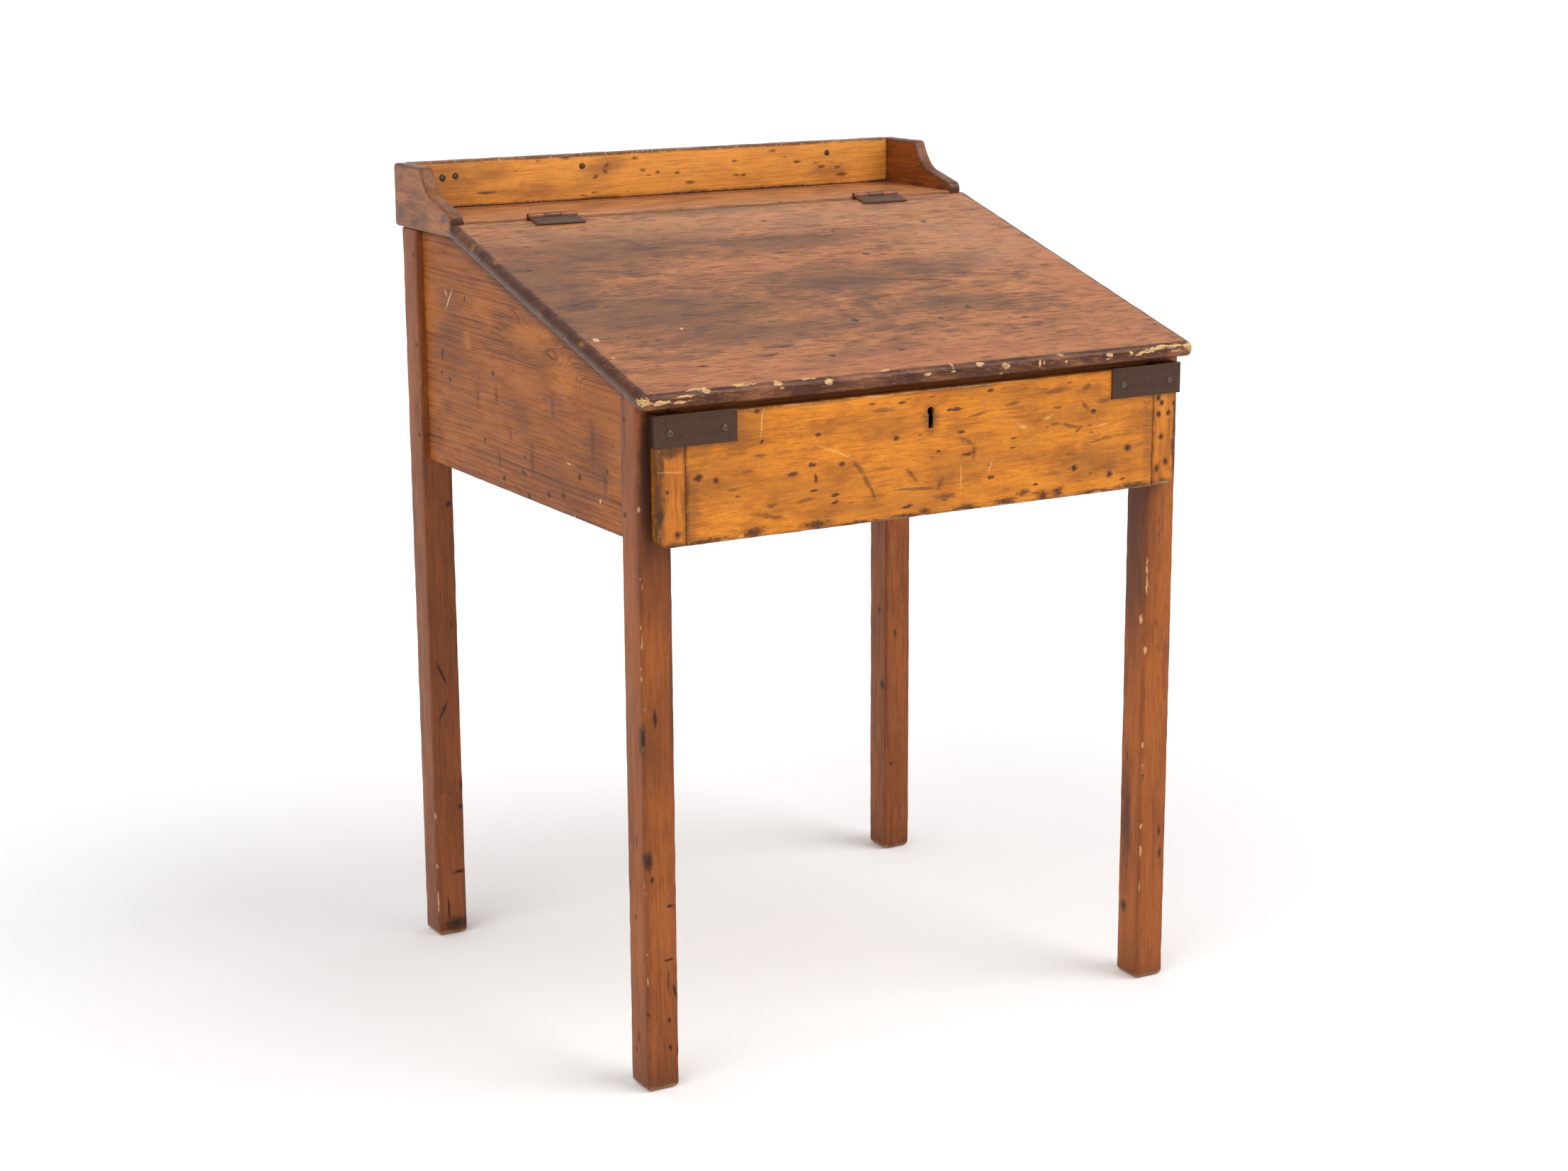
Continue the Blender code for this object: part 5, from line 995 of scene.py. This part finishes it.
drawer = {
    "shape": {"step": 0.006, "rims": (0.0012, 0.0016), "rimSteps": 3, "faceRings": (0.005, 0.010, 0.018),
              "wobble": 0.0004},
    "clampRings": (0.005, 0.010), "gap": 0.00012,
    "lowerCorner": 0.010, "upperCorner": 0.002, "jointCorner": 0.0008,
    "keyhole": {"height": 0.7155, "round": 0.0045, "slot": 0.006, "slotLong": 0.019, "through": 0.05},
    "look": {  # amber polish over fine straight pine, flecked with dents and old ink
        "grain": "X", "plane": "XZ", "depth": (-313, 9),  # marks on the outer face only
        "rise": 1.2, "drift": 2.5, "heart": (-60, -372, 655), "ring": 3.2, "ringShow": 0.42,
        "wave": 24, "waveSize": 100, "early": "#da831e", "late": "#9a5612", "fibreShow": 0.5, "bandShow": 0.4,
        "patch": "#8a4a14", "patchShow": 0.5, "patchSize": 24, "glow": "#e4922a", "glowShow": 0.4,
        "smear": (26, 6), "smearShow": 0.3, "grit": 0.09,
        "fleck": "#5a3012", "fleckShare": 0.07, "fleckShow": 0.7,
        "rough": (0.34, 0.5), "shine": 0.28, "bump": 0.32,
        "edge": {"grimeReach": (0.6, 2.5), "grime": "#4f2d15", "grimeShow": 0.7,
                 "speckReach": (1.5, 2.5), "speck": "#d9a565", "speckShow": 0.35,
                 "bareReach": (-4, 4), "bareShow": 0.6, "bare": "#e3b57c"},
        "stainsAndShade": [
            {"colour": "#70401a", "soft": 0.8, "show": 0.5, "smeared": True, "ragged": 1.6, "marks": [
                (-232, 716, 26, 24, 0), (-285, 700, 16, 14, 0), (-294, 645, 7, 60, 0), (292, 660, 8, 66, 0),
                (225, 640, 60, 16, 4)]},
            {"colour": "#7f4a1b", "soft": 0.7, "show": 0.34, "smeared": True, "ragged": 2.2, "marks": [
                (-250, 670, 50, 26, 0), (-150, 645, 70, 18, 0), (40, 652, 70, 16, 8), (200, 695, 70, 14, 0),
                (-60, 618, 90, 12, 0), (-60, 705, 50, 12, 0), (130, 720, 60, 8, 0)]},
            {"colour": "#4c2a10", "soft": 0.7, "show": 0.65, "ragged": 0.5, "marks": [(0, 706, 8.5, 14, 0)]},
            # painted shade: the keyhole's inner walls coloured nearly black, so the hole reads dark
            {"depth": (-300, 12.6), "colour": "#0e0703", "soft": 0.05, "show": 1.0, "ragged": 0.0,
             "marks": [(0, 707, 9, 15, 0)]},
            {"colour": "#5a3214", "soft": 0.6, "show": 0.66, "ragged": 1.0, "marks": [
                (-90, 662, 9, 2.6, -47), (-81, 647, 9.6, 2.8, -65), (-74, 633, 7.6, 2.2, -66),
                (-201, 622, 17, 2.4, -12), (166, 723, 18, 3.2, 5), (205, 723, 6, 2.8, 23),
                (203, 703, 7, 2.4, -50), (230, 706, 9, 2.8, 5), (164, 686, 9, 2, -6),
                (184, 682, 13, 2, -15), (195, 677, 5, 2.2, 37), (230, 663, 16, 1.8, 8),
                (48, 677, 10, 2.6, -24), (56, 665, 9, 2.6, -93), (12, 634, 7, 2.6, -122),
                (-17, 632, 27, 1.5, -4), (20, 620, 12, 3.2, -1), (-24, 648, 10, 2.4, -48),
                (-211, 687, 8, 1.8, 0), (-227, 672, 7, 1.6, 0), (-198, 633, 7, 1.8, -2),
                (-242, 655, 7, 1.6, 2), (-157, 634, 11, 1.8, 6), (107, 714, 8, 2, 6),
                (60, 706, 14, 1.6, 12), (-60, 722, 14, 2, 0)]},
            {"colour": "#45200b", "soft": 0.42, "show": 0.88, "ragged": 1.0, "marks": [
                (-284, 672, 5, 4, 0), (-264, 667, 3.4, 2.8, 0), (-209, 702, 3, 1.8, 0),
                (-149, 672, 4.6, 2.2, 0), (-144, 657, 2.4, 5, 0), (-112, 669, 3.6, 2, 0),
                (-146, 644, 4, 1.5, 8), (-119, 636, 4.6, 1.9, 4), (-120, 628, 4.6, 1.6, 6),
                (-141, 703, 3, 2, 0), (-171, 664, 6.5, 2, 0), (-44, 690, 4, 2.6, 0), (77, 731, 3.6, 2.6, 0),
                (215, 695, 4, 2.6, 0), (263, 649, 4.4, 4, 0), (190, 633, 4, 3.4, 0),
                (239, 621, 4.6, 3.6, 0), (108, 675, 4, 1.6, 0), (10, 670, 2.6, 1.6, 0), (31, 714, 10, 2, 0),
                (-37, 728, 4.4, 1.6, 0), (39, 689, 4.6, 1.7, 5), (48, 664, 6, 1.8, 2), (78, 634, 5, 1.8, 5),
                (257, 614, 4, 1.6, 7), (138, 620, 3.6, 1.6, 3), (-29, 614, 8, 1.7, 2),
                (-214, 735, 5, 3, 0)]},
            {"colour": "#2c170b", "soft": 0.7, "show": 0.85, "ragged": 1.1, "marks": [
                (-219, 607, 11, 5, 3), (-143, 607, 16, 4, 0), (-277, 604, 20, 3, 0), (168, 610, 7, 4.4, 5),
                (148, 607, 6, 5, 0), (122, 613, 8, 3, 2), (98, 605, 13, 4, 0), (46, 604, 16, 4, 0),
                (-8, 606, 7, 3.4, 2), (-31, 603, 14, 3.4, 0), (220, 603, 26, 3, 0), (272, 605, 20, 4, 0),
                (-90, 602, 26, 2.4, 0)]},
            {"colour": "#e3a75c", "soft": 0.7, "show": 0.6, "ragged": 1.2, "marks": [
                (-121, 683, 20, 0.9, -24), (-209, 721, 1.0, 13, -8), (39, 638, 0.9, 12, 0),
                (77, 646, 0.9, 7, -22), (153, 694, 6, 2.0, 18), (120, 687, 6, 2.0, -27),
                (227, 678, 5, 1.0, 6), (-256, 602, 3.4, 1.8, 0), (-234, 604, 2.6, 2, 0),
                (-160, 603, 3, 1.8, 0)]},
            {"depth": (-313, 4), "colour": "#dfae86", "soft": 0.5, "show": 0.7, "smeared": True,
             "ragged": 1.3, "marks": [
                (-100, 739, 170, 1.2, 0), (70, 739, 90, 1.2, 0), (60, 601, 120, 1.5, 0),
                (230, 601, 60, 2, 0), (-200, 601, 60, 1.2, 0)]},
        ],
    },
    "clampLook": {  # the grain stands upright on the clamps, and they are darker
        "grain": "Z", "rise": 1.0, "drift": 0.0, "heart": (300, -280, 650), "early": "#c5721d",
        "late": "#7d420f",
        "fibreShow": 0.65, "stainsAndShade": [
            {"colour": "#3f2412", "soft": 0.8, "show": 0.8, "smeared": True, "ragged": 0.9, "marks": [
                (-329, 650, 5, 70, 0), (329, 650, 3, 70, 0), (-314, 603, 20, 4, 0), (314, 603, 20, 5, 0),
                (-314, 702, 22, 6, 0)]},
            {"colour": "#2c170b", "soft": 0.6, "show": 0.85, "ragged": 0.8,
             "marks": [(-329, 636, 3, 8, 0), (-321, 660, 2, 2, 0)]},
            {"colour": "#e2ae66", "soft": 0.6, "show": 0.4, "ragged": 0.9, "marks": [
                (-317, 681, 13, 0.8, -5), (312, 604, 14, 1.4, 0)]},
            {"colour": "#4a2811", "soft": 0.6, "show": 0.8, "ragged": 0.5, "marks": [
                (305, 702, 3.6, 3.8, 0), (310, 696, 3.2, 3.2, 0), (327, 694, 3, 3, 0),
                (319, 684, 3.4, 3.4, 0), (306, 683, 3.2, 4, 0), (310, 657, 3.6, 4.2, 0),
                (317, 628, 3.8, 4.4, 0), (305, 621, 3, 4.4, 0), (-309, 615, 3.8, 3.8, 0)]}],
    },
}


def makeDrawerFront():
    low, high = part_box("drawer_front")
    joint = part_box("drawer_clamp_right")[0].x
    across = faceMatrix("X", "Z", "-Y")
    ends = -joint + drawer["gap"], joint - drawer["gap"]
    corners = rectangle((ends[0], low.z), (ends[1], high.z), [drawer["jointCorner"]] * 4)
    shape = drawer["shape"]
    mesh = boardMesh(corners, -high.y, -low.y, across, shape)
    hole = drawer["keyhole"]
    centre = Vector((0, (low.y + high.y) / 2, hole["height"]))
    keyhole = bmesh.new()
    bmesh.ops.create_cone(
        keyhole, cap_ends=True, segments=28, radius1=hole["round"], radius2=hole["round"],
        depth=hole["through"],
        matrix=Matrix.Translation(centre) @ Matrix.Rotation(math.pi / 2, 4, "X"))
    slot = bmesh.new()
    middle = Matrix.Translation(centre - Vector((0, 0, hole["slotLong"] / 2)))
    size = Matrix.Diagonal((hole["slot"], hole["through"], hole["slotLong"], 1))
    bmesh.ops.create_cube(slot, size=1.0, matrix=middle @ size)
    mesh = cutBy(mesh, [keyhole, slot])
    edgeValues = mesh.attributes["edge"].data
    for vert in mesh.vertices:  # the hole's own rim isn't worn as the board's edges are
        if abs(vert.co.x) < 0.006 and abs(vert.co.z - centre.z + 0.006) < 0.016:
            edgeValues[vert.index].value = shape["faceRings"][-1]
    frontWood = pine("amberPolishedPineFront", drawer["look"])
    finished("drawerFront", mesh, frontWood, "drawer", "amber_pine", "drawer_front")
    clampWood = pine("amberPolishedPineClamp", dict(drawer["look"], **drawer["clampLook"]))
    for side, sign in (("left", -1), ("right", 1)):
        low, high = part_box("drawer_clamp_" + side)
        radii = [drawer["lowerCorner"], drawer["jointCorner"], drawer["jointCorner"], drawer["upperCorner"]]
        if sign > 0:
            radii = [radii[1], radii[0], radii[3], radii[2]]
        corners = rectangle((low.x, low.z), (high.x, high.z), radii)
        mesh = boardMesh(corners, -high.y, -low.y, across, dict(shape, faceRings=drawer["clampRings"]))
        finished("drawerClamp" + side.capitalize(), mesh, clampWood, "drawer", "amber_pine",
                 "drawer_clamp_" + side)


makeDrawerFront()
print("drawer front made")


# ironwork: corner straps, lock and hinges

iron = {
    "strapEase": 0.0017, "leafEase": 0.0003, "lockEase": 0.0006, "barrelRadius": 0.0050,
    "barrelShow": {"lid": 1.0, "shelf": 0.4},
    "dark": {"base": "#412c20", "light": "#553b2c", "rust": "#4e3020", "rustShow": 0.4, "metallic": 0.6,
             "rough": (0.34, 0.46), "mottle": 2.2},
    "brown": {"base": "#55382a", "light": "#6b4937", "rust": "#6a3c26", "rustShow": 0.5, "metallic": 0.65,
              "rough": (0.28, 0.42), "mottle": 2.2, "barrel": "#8a573b"},
    "worn": {"base": "#4d4038", "light": "#776a5f", "rust": "#4b3429", "rustShow": 0.7, "metallic": 0.7,
             "rough": (0.3, 0.45), "mottle": 1.8},
}


def oldIron(name, look):
    material = bpy.data.materials.new(name)
    material.use_nodes = True
    tree = material.node_tree
    shader = tree.nodes["Principled BSDF"]
    place = addNode(tree, "ShaderNodeTexCoord").outputs["Object"]
    mottle = addNode(tree, "ShaderNodeTexNoise", {
        "Vector": place, "Scale": 1000 / look["mottle"], "Detail": 5.0, "Roughness": 0.65}).outputs["Fac"]
    share = addNode(tree, "ShaderNodeMapRange", {"Value": mottle, "From Min": 0.35,
        "From Max": 0.7}).outputs[0]
    colour = addNode(tree, "ShaderNodeMix", {
        0: share, 6: linear(look["base"]), 7: linear(look["light"])}, data_type="RGBA").outputs[2]
    if "barrel" in look:  # the rolled barrel is handled bright
        barrel = addNode(tree, "ShaderNodeAttribute", attribute_name="barrel").outputs["Fac"]
        colour = addNode(tree, "ShaderNodeMix", {
            0: barrel, 6: colour, 7: linear(look["barrel"])}, data_type="RGBA").outputs[2]
    bloom = addNode(tree, "ShaderNodeTexNoise", {
        "Vector": place, "Scale": 400 / look["mottle"], "Detail": 6.0, "Roughness": 0.7}).outputs["Fac"]
    rusty = addNode(tree, "ShaderNodeMapRange", {
        "Value": bloom, "From Min": 0.5, "From Max": 0.66, "To Max": look["rustShow"]},
        interpolation_type="SMOOTHSTEP").outputs[0]
    colour = addNode(tree, "ShaderNodeMix", {
        0: rusty, 6: colour, 7: linear(look["rust"])}, data_type="RGBA").outputs[2]
    tree.links.new(colour, shader.inputs["Base Color"])
    rough = addNode(tree, "ShaderNodeMapRange", {
        "Value": mottle, "From Min": 0.3, "From Max": 0.7,
        "To Min": look["rough"][0], "To Max": look["rough"][1]}).outputs[0]
    tree.links.new(rough, shader.inputs["Roughness"])
    shader.inputs["Metallic"].default_value = look["metallic"]
    bump = addNode(tree, "ShaderNodeBump", {"Strength": 0.1, "Distance": 0.0003, "Height": mottle})
    tree.links.new(bump.outputs[0], shader.inputs["Normal"])
    return material


# half metal, half oxide: a dull satin, brown not grey
darkIron = oldIron("forgedIronBrownBloom", iron["dark"])
# varnished over on the leaves, coppery on the barrel
brownSteel = oldIron("rolledSteelRusted", iron["brown"])
wornSteel = oldIron("screwSteelWorn", iron["worn"])  # rubbed back to pale metal


def makeIronwork():
    for side in ("left", "right"):
        strap = "corner_strap_" + side
        mesh = easedCopy(strap, iron["strapEase"])
        finished("cornerStrap" + side.capitalize(), mesh, darkIron, "drawer", "dark_iron", strap)
        low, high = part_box("hinge_pin_" + side)
        pin = (low + high) / 2
        for part, body in (("lid", "lid"), ("shelf", "frame")):
            leaf = "hinge_%s_leaf_%s" % (part, side)
            mesh = easedCopy(leaf, iron["leafEase"], 2)
            barrel = mesh.attributes.new("barrel", "FLOAT", "FACE")
            for face, item in zip(mesh.polygons, barrel.data):
                onBarrel = math.hypot(face.center.y - pin.y, face.center.z - pin.z) < iron["barrelRadius"]
                item.value = iron["barrelShow"][part] * onBarrel
            name = "hinge%sLeaf%s" % (part.capitalize(), side.capitalize())
            finished(name, mesh, brownSteel, body, "brown_steel", leaf)
    mesh = easedCopy("lock_case", iron["lockEase"], 2)
    finished("lockCase", mesh, darkIron, "drawer", "dark_iron", "lock_case")


makeIronwork()
print("ironwork made")


# nails, screws and pegs: one head, set out on points by Geometry Nodes

def headTree(name, slotted):
    tree = bpy.data.node_groups.new(name, "GeometryNodeTree")
    tree.interface.new_socket("Points", in_out="INPUT", socket_type="NodeSocketGeometry")
    sizes = {"Radius": 0.003, "Height": 0.0008, "Dome": 0.0008, "Slot width": 0.0009, "Size spread": 0.0}
    for label, value in sizes.items():
        tree.interface.new_socket(label, in_out="INPUT", socket_type="NodeSocketFloat").default_value = value
    tree.interface.new_socket("Seed", in_out="INPUT", socket_type="NodeSocketInt").default_value = 7
    tree.interface.new_socket("Metal", in_out="INPUT", socket_type="NodeSocketMaterial")
    tree.interface.new_socket("Heads", in_out="OUTPUT", socket_type="NodeSocketGeometry")
    given = addNode(tree, "NodeGroupInput").outputs
    deep = addNode(tree, "ShaderNodeMath", {0: given["Height"], 1: 2.0}, operation="MULTIPLY").outputs[0]
    disc = addNode(tree, "GeometryNodeMeshCylinder", {"Vertices": 20, "Side Segments": 1, "Fill Segments": 4,
                                                      "Radius": given["Radius"],
                                                      "Depth": deep}).outputs["Mesh"]
    spot = addNode(tree, "GeometryNodeInputPosition").outputs[0]
    parts = addNode(tree, "ShaderNodeSeparateXYZ", {0: spot}).outputs
    flat = addNode(tree, "ShaderNodeCombineXYZ", {0: parts[0], 1: parts[1]}).outputs[0]
    away = addNode(tree, "ShaderNodeVectorMath", {0: flat}, operation="LENGTH").outputs["Value"]
    share = addNode(tree, "ShaderNodeMath", {0: away, 1: given["Radius"]}, operation="DIVIDE").outputs[0]
    share = addNode(tree, "ShaderNodeMath", {0: share, 1: share}, operation="MULTIPLY").outputs[0]
    crown = addNode(tree, "ShaderNodeMath", {0: 1.0, 1: share}, operation="SUBTRACT").outputs[0]
    crown = addNode(tree, "ShaderNodeMath", {0: crown, 1: given["Dome"]}, operation="MULTIPLY").outputs[0]
    above = addNode(tree, "ShaderNodeMath", {0: parts[2], 1: 0.0}, operation="GREATER_THAN").outputs[0]
    crown = addNode(tree, "ShaderNodeMath", {0: crown, 1: above}, operation="MULTIPLY").outputs[0]
    lift = addNode(tree, "ShaderNodeCombineXYZ", {2: crown}).outputs[0]
    head = addNode(tree, "GeometryNodeSetPosition", {"Geometry": disc, "Offset": lift}).outputs[0]
    if slotted:
        top = addNode(tree, "ShaderNodeMath", {0: given["Height"], 1: given["Dome"]},
                      operation="ADD").outputs[0]
        size = addNode(tree, "ShaderNodeCombineXYZ", {0: 0.05, 1: given["Slot width"],
            2: given["Slot width"]}).outputs[0]
        bar = addNode(tree, "GeometryNodeMeshCube", {"Size": size}).outputs["Mesh"]
        lifted = addNode(tree, "ShaderNodeCombineXYZ", {2: top}).outputs[0]
        bar = addNode(tree, "GeometryNodeTransform", {"Geometry": bar, "Translation": lifted}).outputs[0]
        head = addNode(tree, "GeometryNodeMeshBoolean", {
            "Mesh 1": head, "Mesh 2": bar}, operation="DIFFERENCE", solver="EXACT").outputs["Mesh"]
    outward, turned = [
        addNode(tree, "GeometryNodeInputNamedAttribute", {"Name": name}, data_type=kind).outputs["Attribute"]
        for name, kind in (("outward", "FLOAT_VECTOR"), ("turned", "FLOAT"))]
    stand = addNode(tree, "FunctionNodeAlignRotationToVector", {"Vector": outward}, axis="Z").outputs[0]
    spin = addNode(tree, "FunctionNodeAxisAngleToRotation", {"Axis": (0, 0, 1), "Angle": turned}).outputs[0]
    stand = addNode(tree, "FunctionNodeRotateRotation", {"Rotation": stand, "Rotate By": spin},
                    rotation_space="LOCAL").outputs[0]
    least = addNode(tree, "ShaderNodeMath", {0: 1.0, 1: given["Size spread"]},
                    operation="SUBTRACT").outputs[0]
    scatter = addNode(tree, "FunctionNodeRandomValue", {"Min": least, "Max": 1.0, "Seed": given["Seed"]},
                      data_type="FLOAT")
    placed = addNode(tree, "GeometryNodeInstanceOnPoints", {
        "Points": given["Points"], "Instance": head, "Rotation": stand,
        "Scale": scatter.outputs[1]}).outputs[0]
    real = addNode(tree, "GeometryNodeRealizeInstances", {0: placed}).outputs[0]
    real = addNode(tree, "GeometryNodeSetMaterial", {"Geometry": real, "Material": given["Metal"]}).outputs[0]
    addNode(tree, "NodeGroupOutput", {"Heads": real})
    return tree


def setHeads(name, tree, spots, sizes, material, body, slot, *replaced):
    # spots: (place, outward, turn in degrees)
    host = bpy.data.meshes.new(name)
    host.from_pydata([spot[0] for spot in spots], [], [])
    outward = host.attributes.new("outward", "FLOAT_VECTOR", "POINT").data
    outward.foreach_set("vector", [c for spot in spots for c in spot[1]])
    turned = host.attributes.new("turned", "FLOAT", "POINT").data
    turned.foreach_set("value", [math.radians(spot[2]) for spot in spots])
    piece = bpy.data.objects.new(name, host)
    scene.collection.objects.link(piece)
    maker = piece.modifiers.new("heads", "NODES")
    maker.node_group = tree
    sockets = {item.name: item.identifier for item in tree.interface.items_tree if item.in_out == "INPUT"}
    for label, value in dict(sizes, Metal=material).items():
        maker[sockets[label]] = value
    mesh = evaluated(piece)
    mesh.shade_smooth()
    mesh.set_sharp_from_angle(angle=math.radians(38))
    finished(name, mesh, material, body, slot, *replaced)


slottedHeads = headTree("slottedHeads", True)
nailHeads = headTree("nailHeads", False)

fasteners = {
    "strapScrews": {"Radius": 0.0035, "Height": 0.0006, "Dome": 0.0009, "Slot width": 0.0010},
    "hingeScrews": {"Radius": 0.0030, "Height": 0.0003, "Dome": 0.0002, "Slot width": 0.0007},
    "battenScrews": {"Radius": 0.0038, "Height": 0.0003, "Dome": 0.0003, "Slot width": 0.0009},
    "lockScrews": {"Radius": 0.0030, "Height": 0.0006, "Dome": 0.0009, "Slot width": 0.0008},
    "clampNails": {"Radius": 0.0021, "Height": 0.0003, "Dome": 0.0004, "Size spread": 0.25},
    "galleryNails": {"Radius": 0.0022, "Height": 0.0003, "Dome": 0.0005, "Size spread": 0.1},
    "pegs": {"Radius": 0.0030, "Height": 0.0003, "Dome": 0.0002, "Size spread": 0.1},
    "clampNailPlaces": [(305, 702), (310, 696), (327, 694), (319, 684), (306, 683), (310, 657), (317, 628),
                        (305, 621), (-309, 615), (-284, 672), (263, 649), (239, 621), (190, 633)],
    "galleryNailPlaces": [(-292, 930.5), (-275, 931.5), (-107, 935.5), (240, 935)],
    "pegTone": {"early": "#5c321d", "late": "#3c1f12", "glowShow": 0.1},
    "frontPegs": (-265, (631, 731)), "backPegs": (273, (631, 739, 846)), "rearPegs": (314, (631, 846)),
}


def centreOf(node):
    low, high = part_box(node)
    return (low + high) / 2


def makeFasteners():
    front, lidUp = Vector((0, -1, 0)), lidFrame.to_3x3() @ Vector((0, 0, 1))
    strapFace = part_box("corner_strap_left")[0].y
    spots = []
    for k, turn in zip(range(1, 5), (35, 120, 70, 15)):
        middle = centreOf("strap_screw_%d" % k)
        spots.append((Vector((middle.x, strapFace, middle.z)), front, turn))
    setHeads("strapScrews", slottedHeads, spots, fasteners["strapScrews"], wornSteel, "drawer", "dark_iron",
             *["strap_screw_%d" % k for k in range(1, 5)])
    for body, part, outward in (("lid", "lid", lidUp), ("frame", "shelf", Vector((0, 0, 1)))):
        names = ["hinge_%s_screw_%d" % (part, k) for k in range(1, 5)]
        spots = []
        for k, node in enumerate(names):
            top = max((vert.co for vert in nodes[node].data.vertices), key=lambda co: co.dot(outward))
            middle = centreOf(node)
            spots.append((middle + outward * (top - middle).dot(outward) - outward * 0.0003, outward,
                          20 + 47 * k))
        setHeads(part + "HingeScrews", slottedHeads, spots, fasteners["hingeScrews"], brownSteel, body,
                 "brown_steel",
                 *names)
    spots = []
    for k in (1, 2):
        low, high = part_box("lock_screw_%d" % k)
        spots.append((Vector(((low.x + high.x) / 2, high.y - 0.0012, (low.z + high.z) / 2)), -front, 30 * k))
    setHeads("lockScrews", slottedHeads, spots, fasteners["lockScrews"], darkIron, "drawer", "dark_iron",
             "lock_screw_1", "lock_screw_2")
    spots, back = [], lidFrame.inverted()
    for side in ("left", "right"):
        corners = [back @ vert.co for vert in nodes["lid_batten_" + side].data.vertices]
        low = [min(corner[k] for corner in corners) for k in range(3)]
        high = [max(corner[k] for corner in corners) for k in range(3)]
        for share in (0.12, 0.5, 0.88):
            under = Vector(((low[0] + high[0]) / 2, low[1] + share * (high[1] - low[1]), low[2]))
            spots.append((lidFrame @ under, -lidUp, 110 * share))
    setHeads("battenScrews", slottedHeads, spots, fasteners["battenScrews"], darkIron, "lid", "dark_iron")
    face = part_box("drawer_front")[0].y
    spots = [(Vector((x / 1000, face, z / 1000)), front, 0) for x, z in fasteners["clampNailPlaces"]]
    setHeads("clampNails", nailHeads, spots, fasteners["clampNails"], darkIron, "drawer", "dark_iron",
             *["clamp_nail_%d" % k for k in range(1, 5)])
    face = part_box("gallery_back")[0].y
    spots = [(Vector((x / 1000, face, z / 1000)), front, 0) for x, z in fasteners["galleryNailPlaces"]]
    setHeads("galleryNails", nailHeads, spots, fasteners["galleryNails"], wornSteel, "frame", "brown_steel")
    spots = []
    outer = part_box("leg_front_right")[1].x
    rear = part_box("leg_back_left")[1].y
    for sign in (-1, 1):
        for along, heights in (fasteners["frontPegs"], fasteners["backPegs"]):
            spots += [(Vector((sign * outer, along / 1000, z / 1000)), Vector((sign, 0, 0)),
                       0) for z in heights]
        across, heights = fasteners["rearPegs"]
        spots += [(Vector((sign * across / 1000, rear, z / 1000)), Vector((0, 1, 0)), 0) for z in heights]
    pegLook = dict(case["legLook"], **fasteners["pegTone"])
    pegLook.pop("edge")
    setHeads("pegs", nailHeads, spots, fasteners["pegs"], pine("stainedPinePegs", pegLook), "frame",
             "red_pine")


makeFasteners()
print("fasteners set")


# unseen wood keeps its CAD shape: bare pine, dusty and a little oxidised

bare = {
    "look": {
        "grain": "X", "plane": "XZ", "rise": 0.8, "heart": (0, 260, 500), "ring": 4.0, "ringShow": 0.55,
        "wave": 18, "waveSize": 110, "early": "#c39a68", "late": "#8f6135", "fibreShow": 0.4,
        "bandShow": 0.35,
        "smear": (60, 12), "smearShow": 0.3, "grit": 0.08,
        "patch": "#8b6a48", "patchShow": 0.5, "patchSize": 90, "glow": "#d1ab7b", "glowShow": 0.3,
        "fleck": "#5d3d22", "fleckShare": 0.05, "fleckShow": 0.5,
        "rough": (0.6, 0.78), "shine": 0.25, "bump": 0.4,
    },
    "deepTone": {"grain": "Y", "heart": (330, 0, 520)},
    "railTone": {"early": "#9c5c2a", "late": "#6d3a18", "patch": "#5d3519", "glow": "#a9682f"},
    "grainX": ("top_rail", "lower_rail", "compartment_floor", "drawer_back", "drawer_bottom"),
    "stained": ("top_rail", "lower_rail"),
}


def dressCad():
    woods = {"X": pine("barePineAcross", bare["look"]),
             "Y": pine("barePineDeep", dict(bare["look"], **bare["deepTone"]))}
    railWood = pine("barePineRail", dict(bare["look"], **bare["railTone"]))
    for name, piece in nodes.items():
        if piece.hide_render:
            continue
        steel = name.startswith(("hinge", "lock_bolt"))
        wood = railWood if name in bare["stained"] else woods["X" if name in bare["grainX"] else "Y"]
        piece.data.materials.clear()
        piece.data.materials.append(brownSteel if steel else wood)
        print("kept from the CAD:", name)


dressCad()
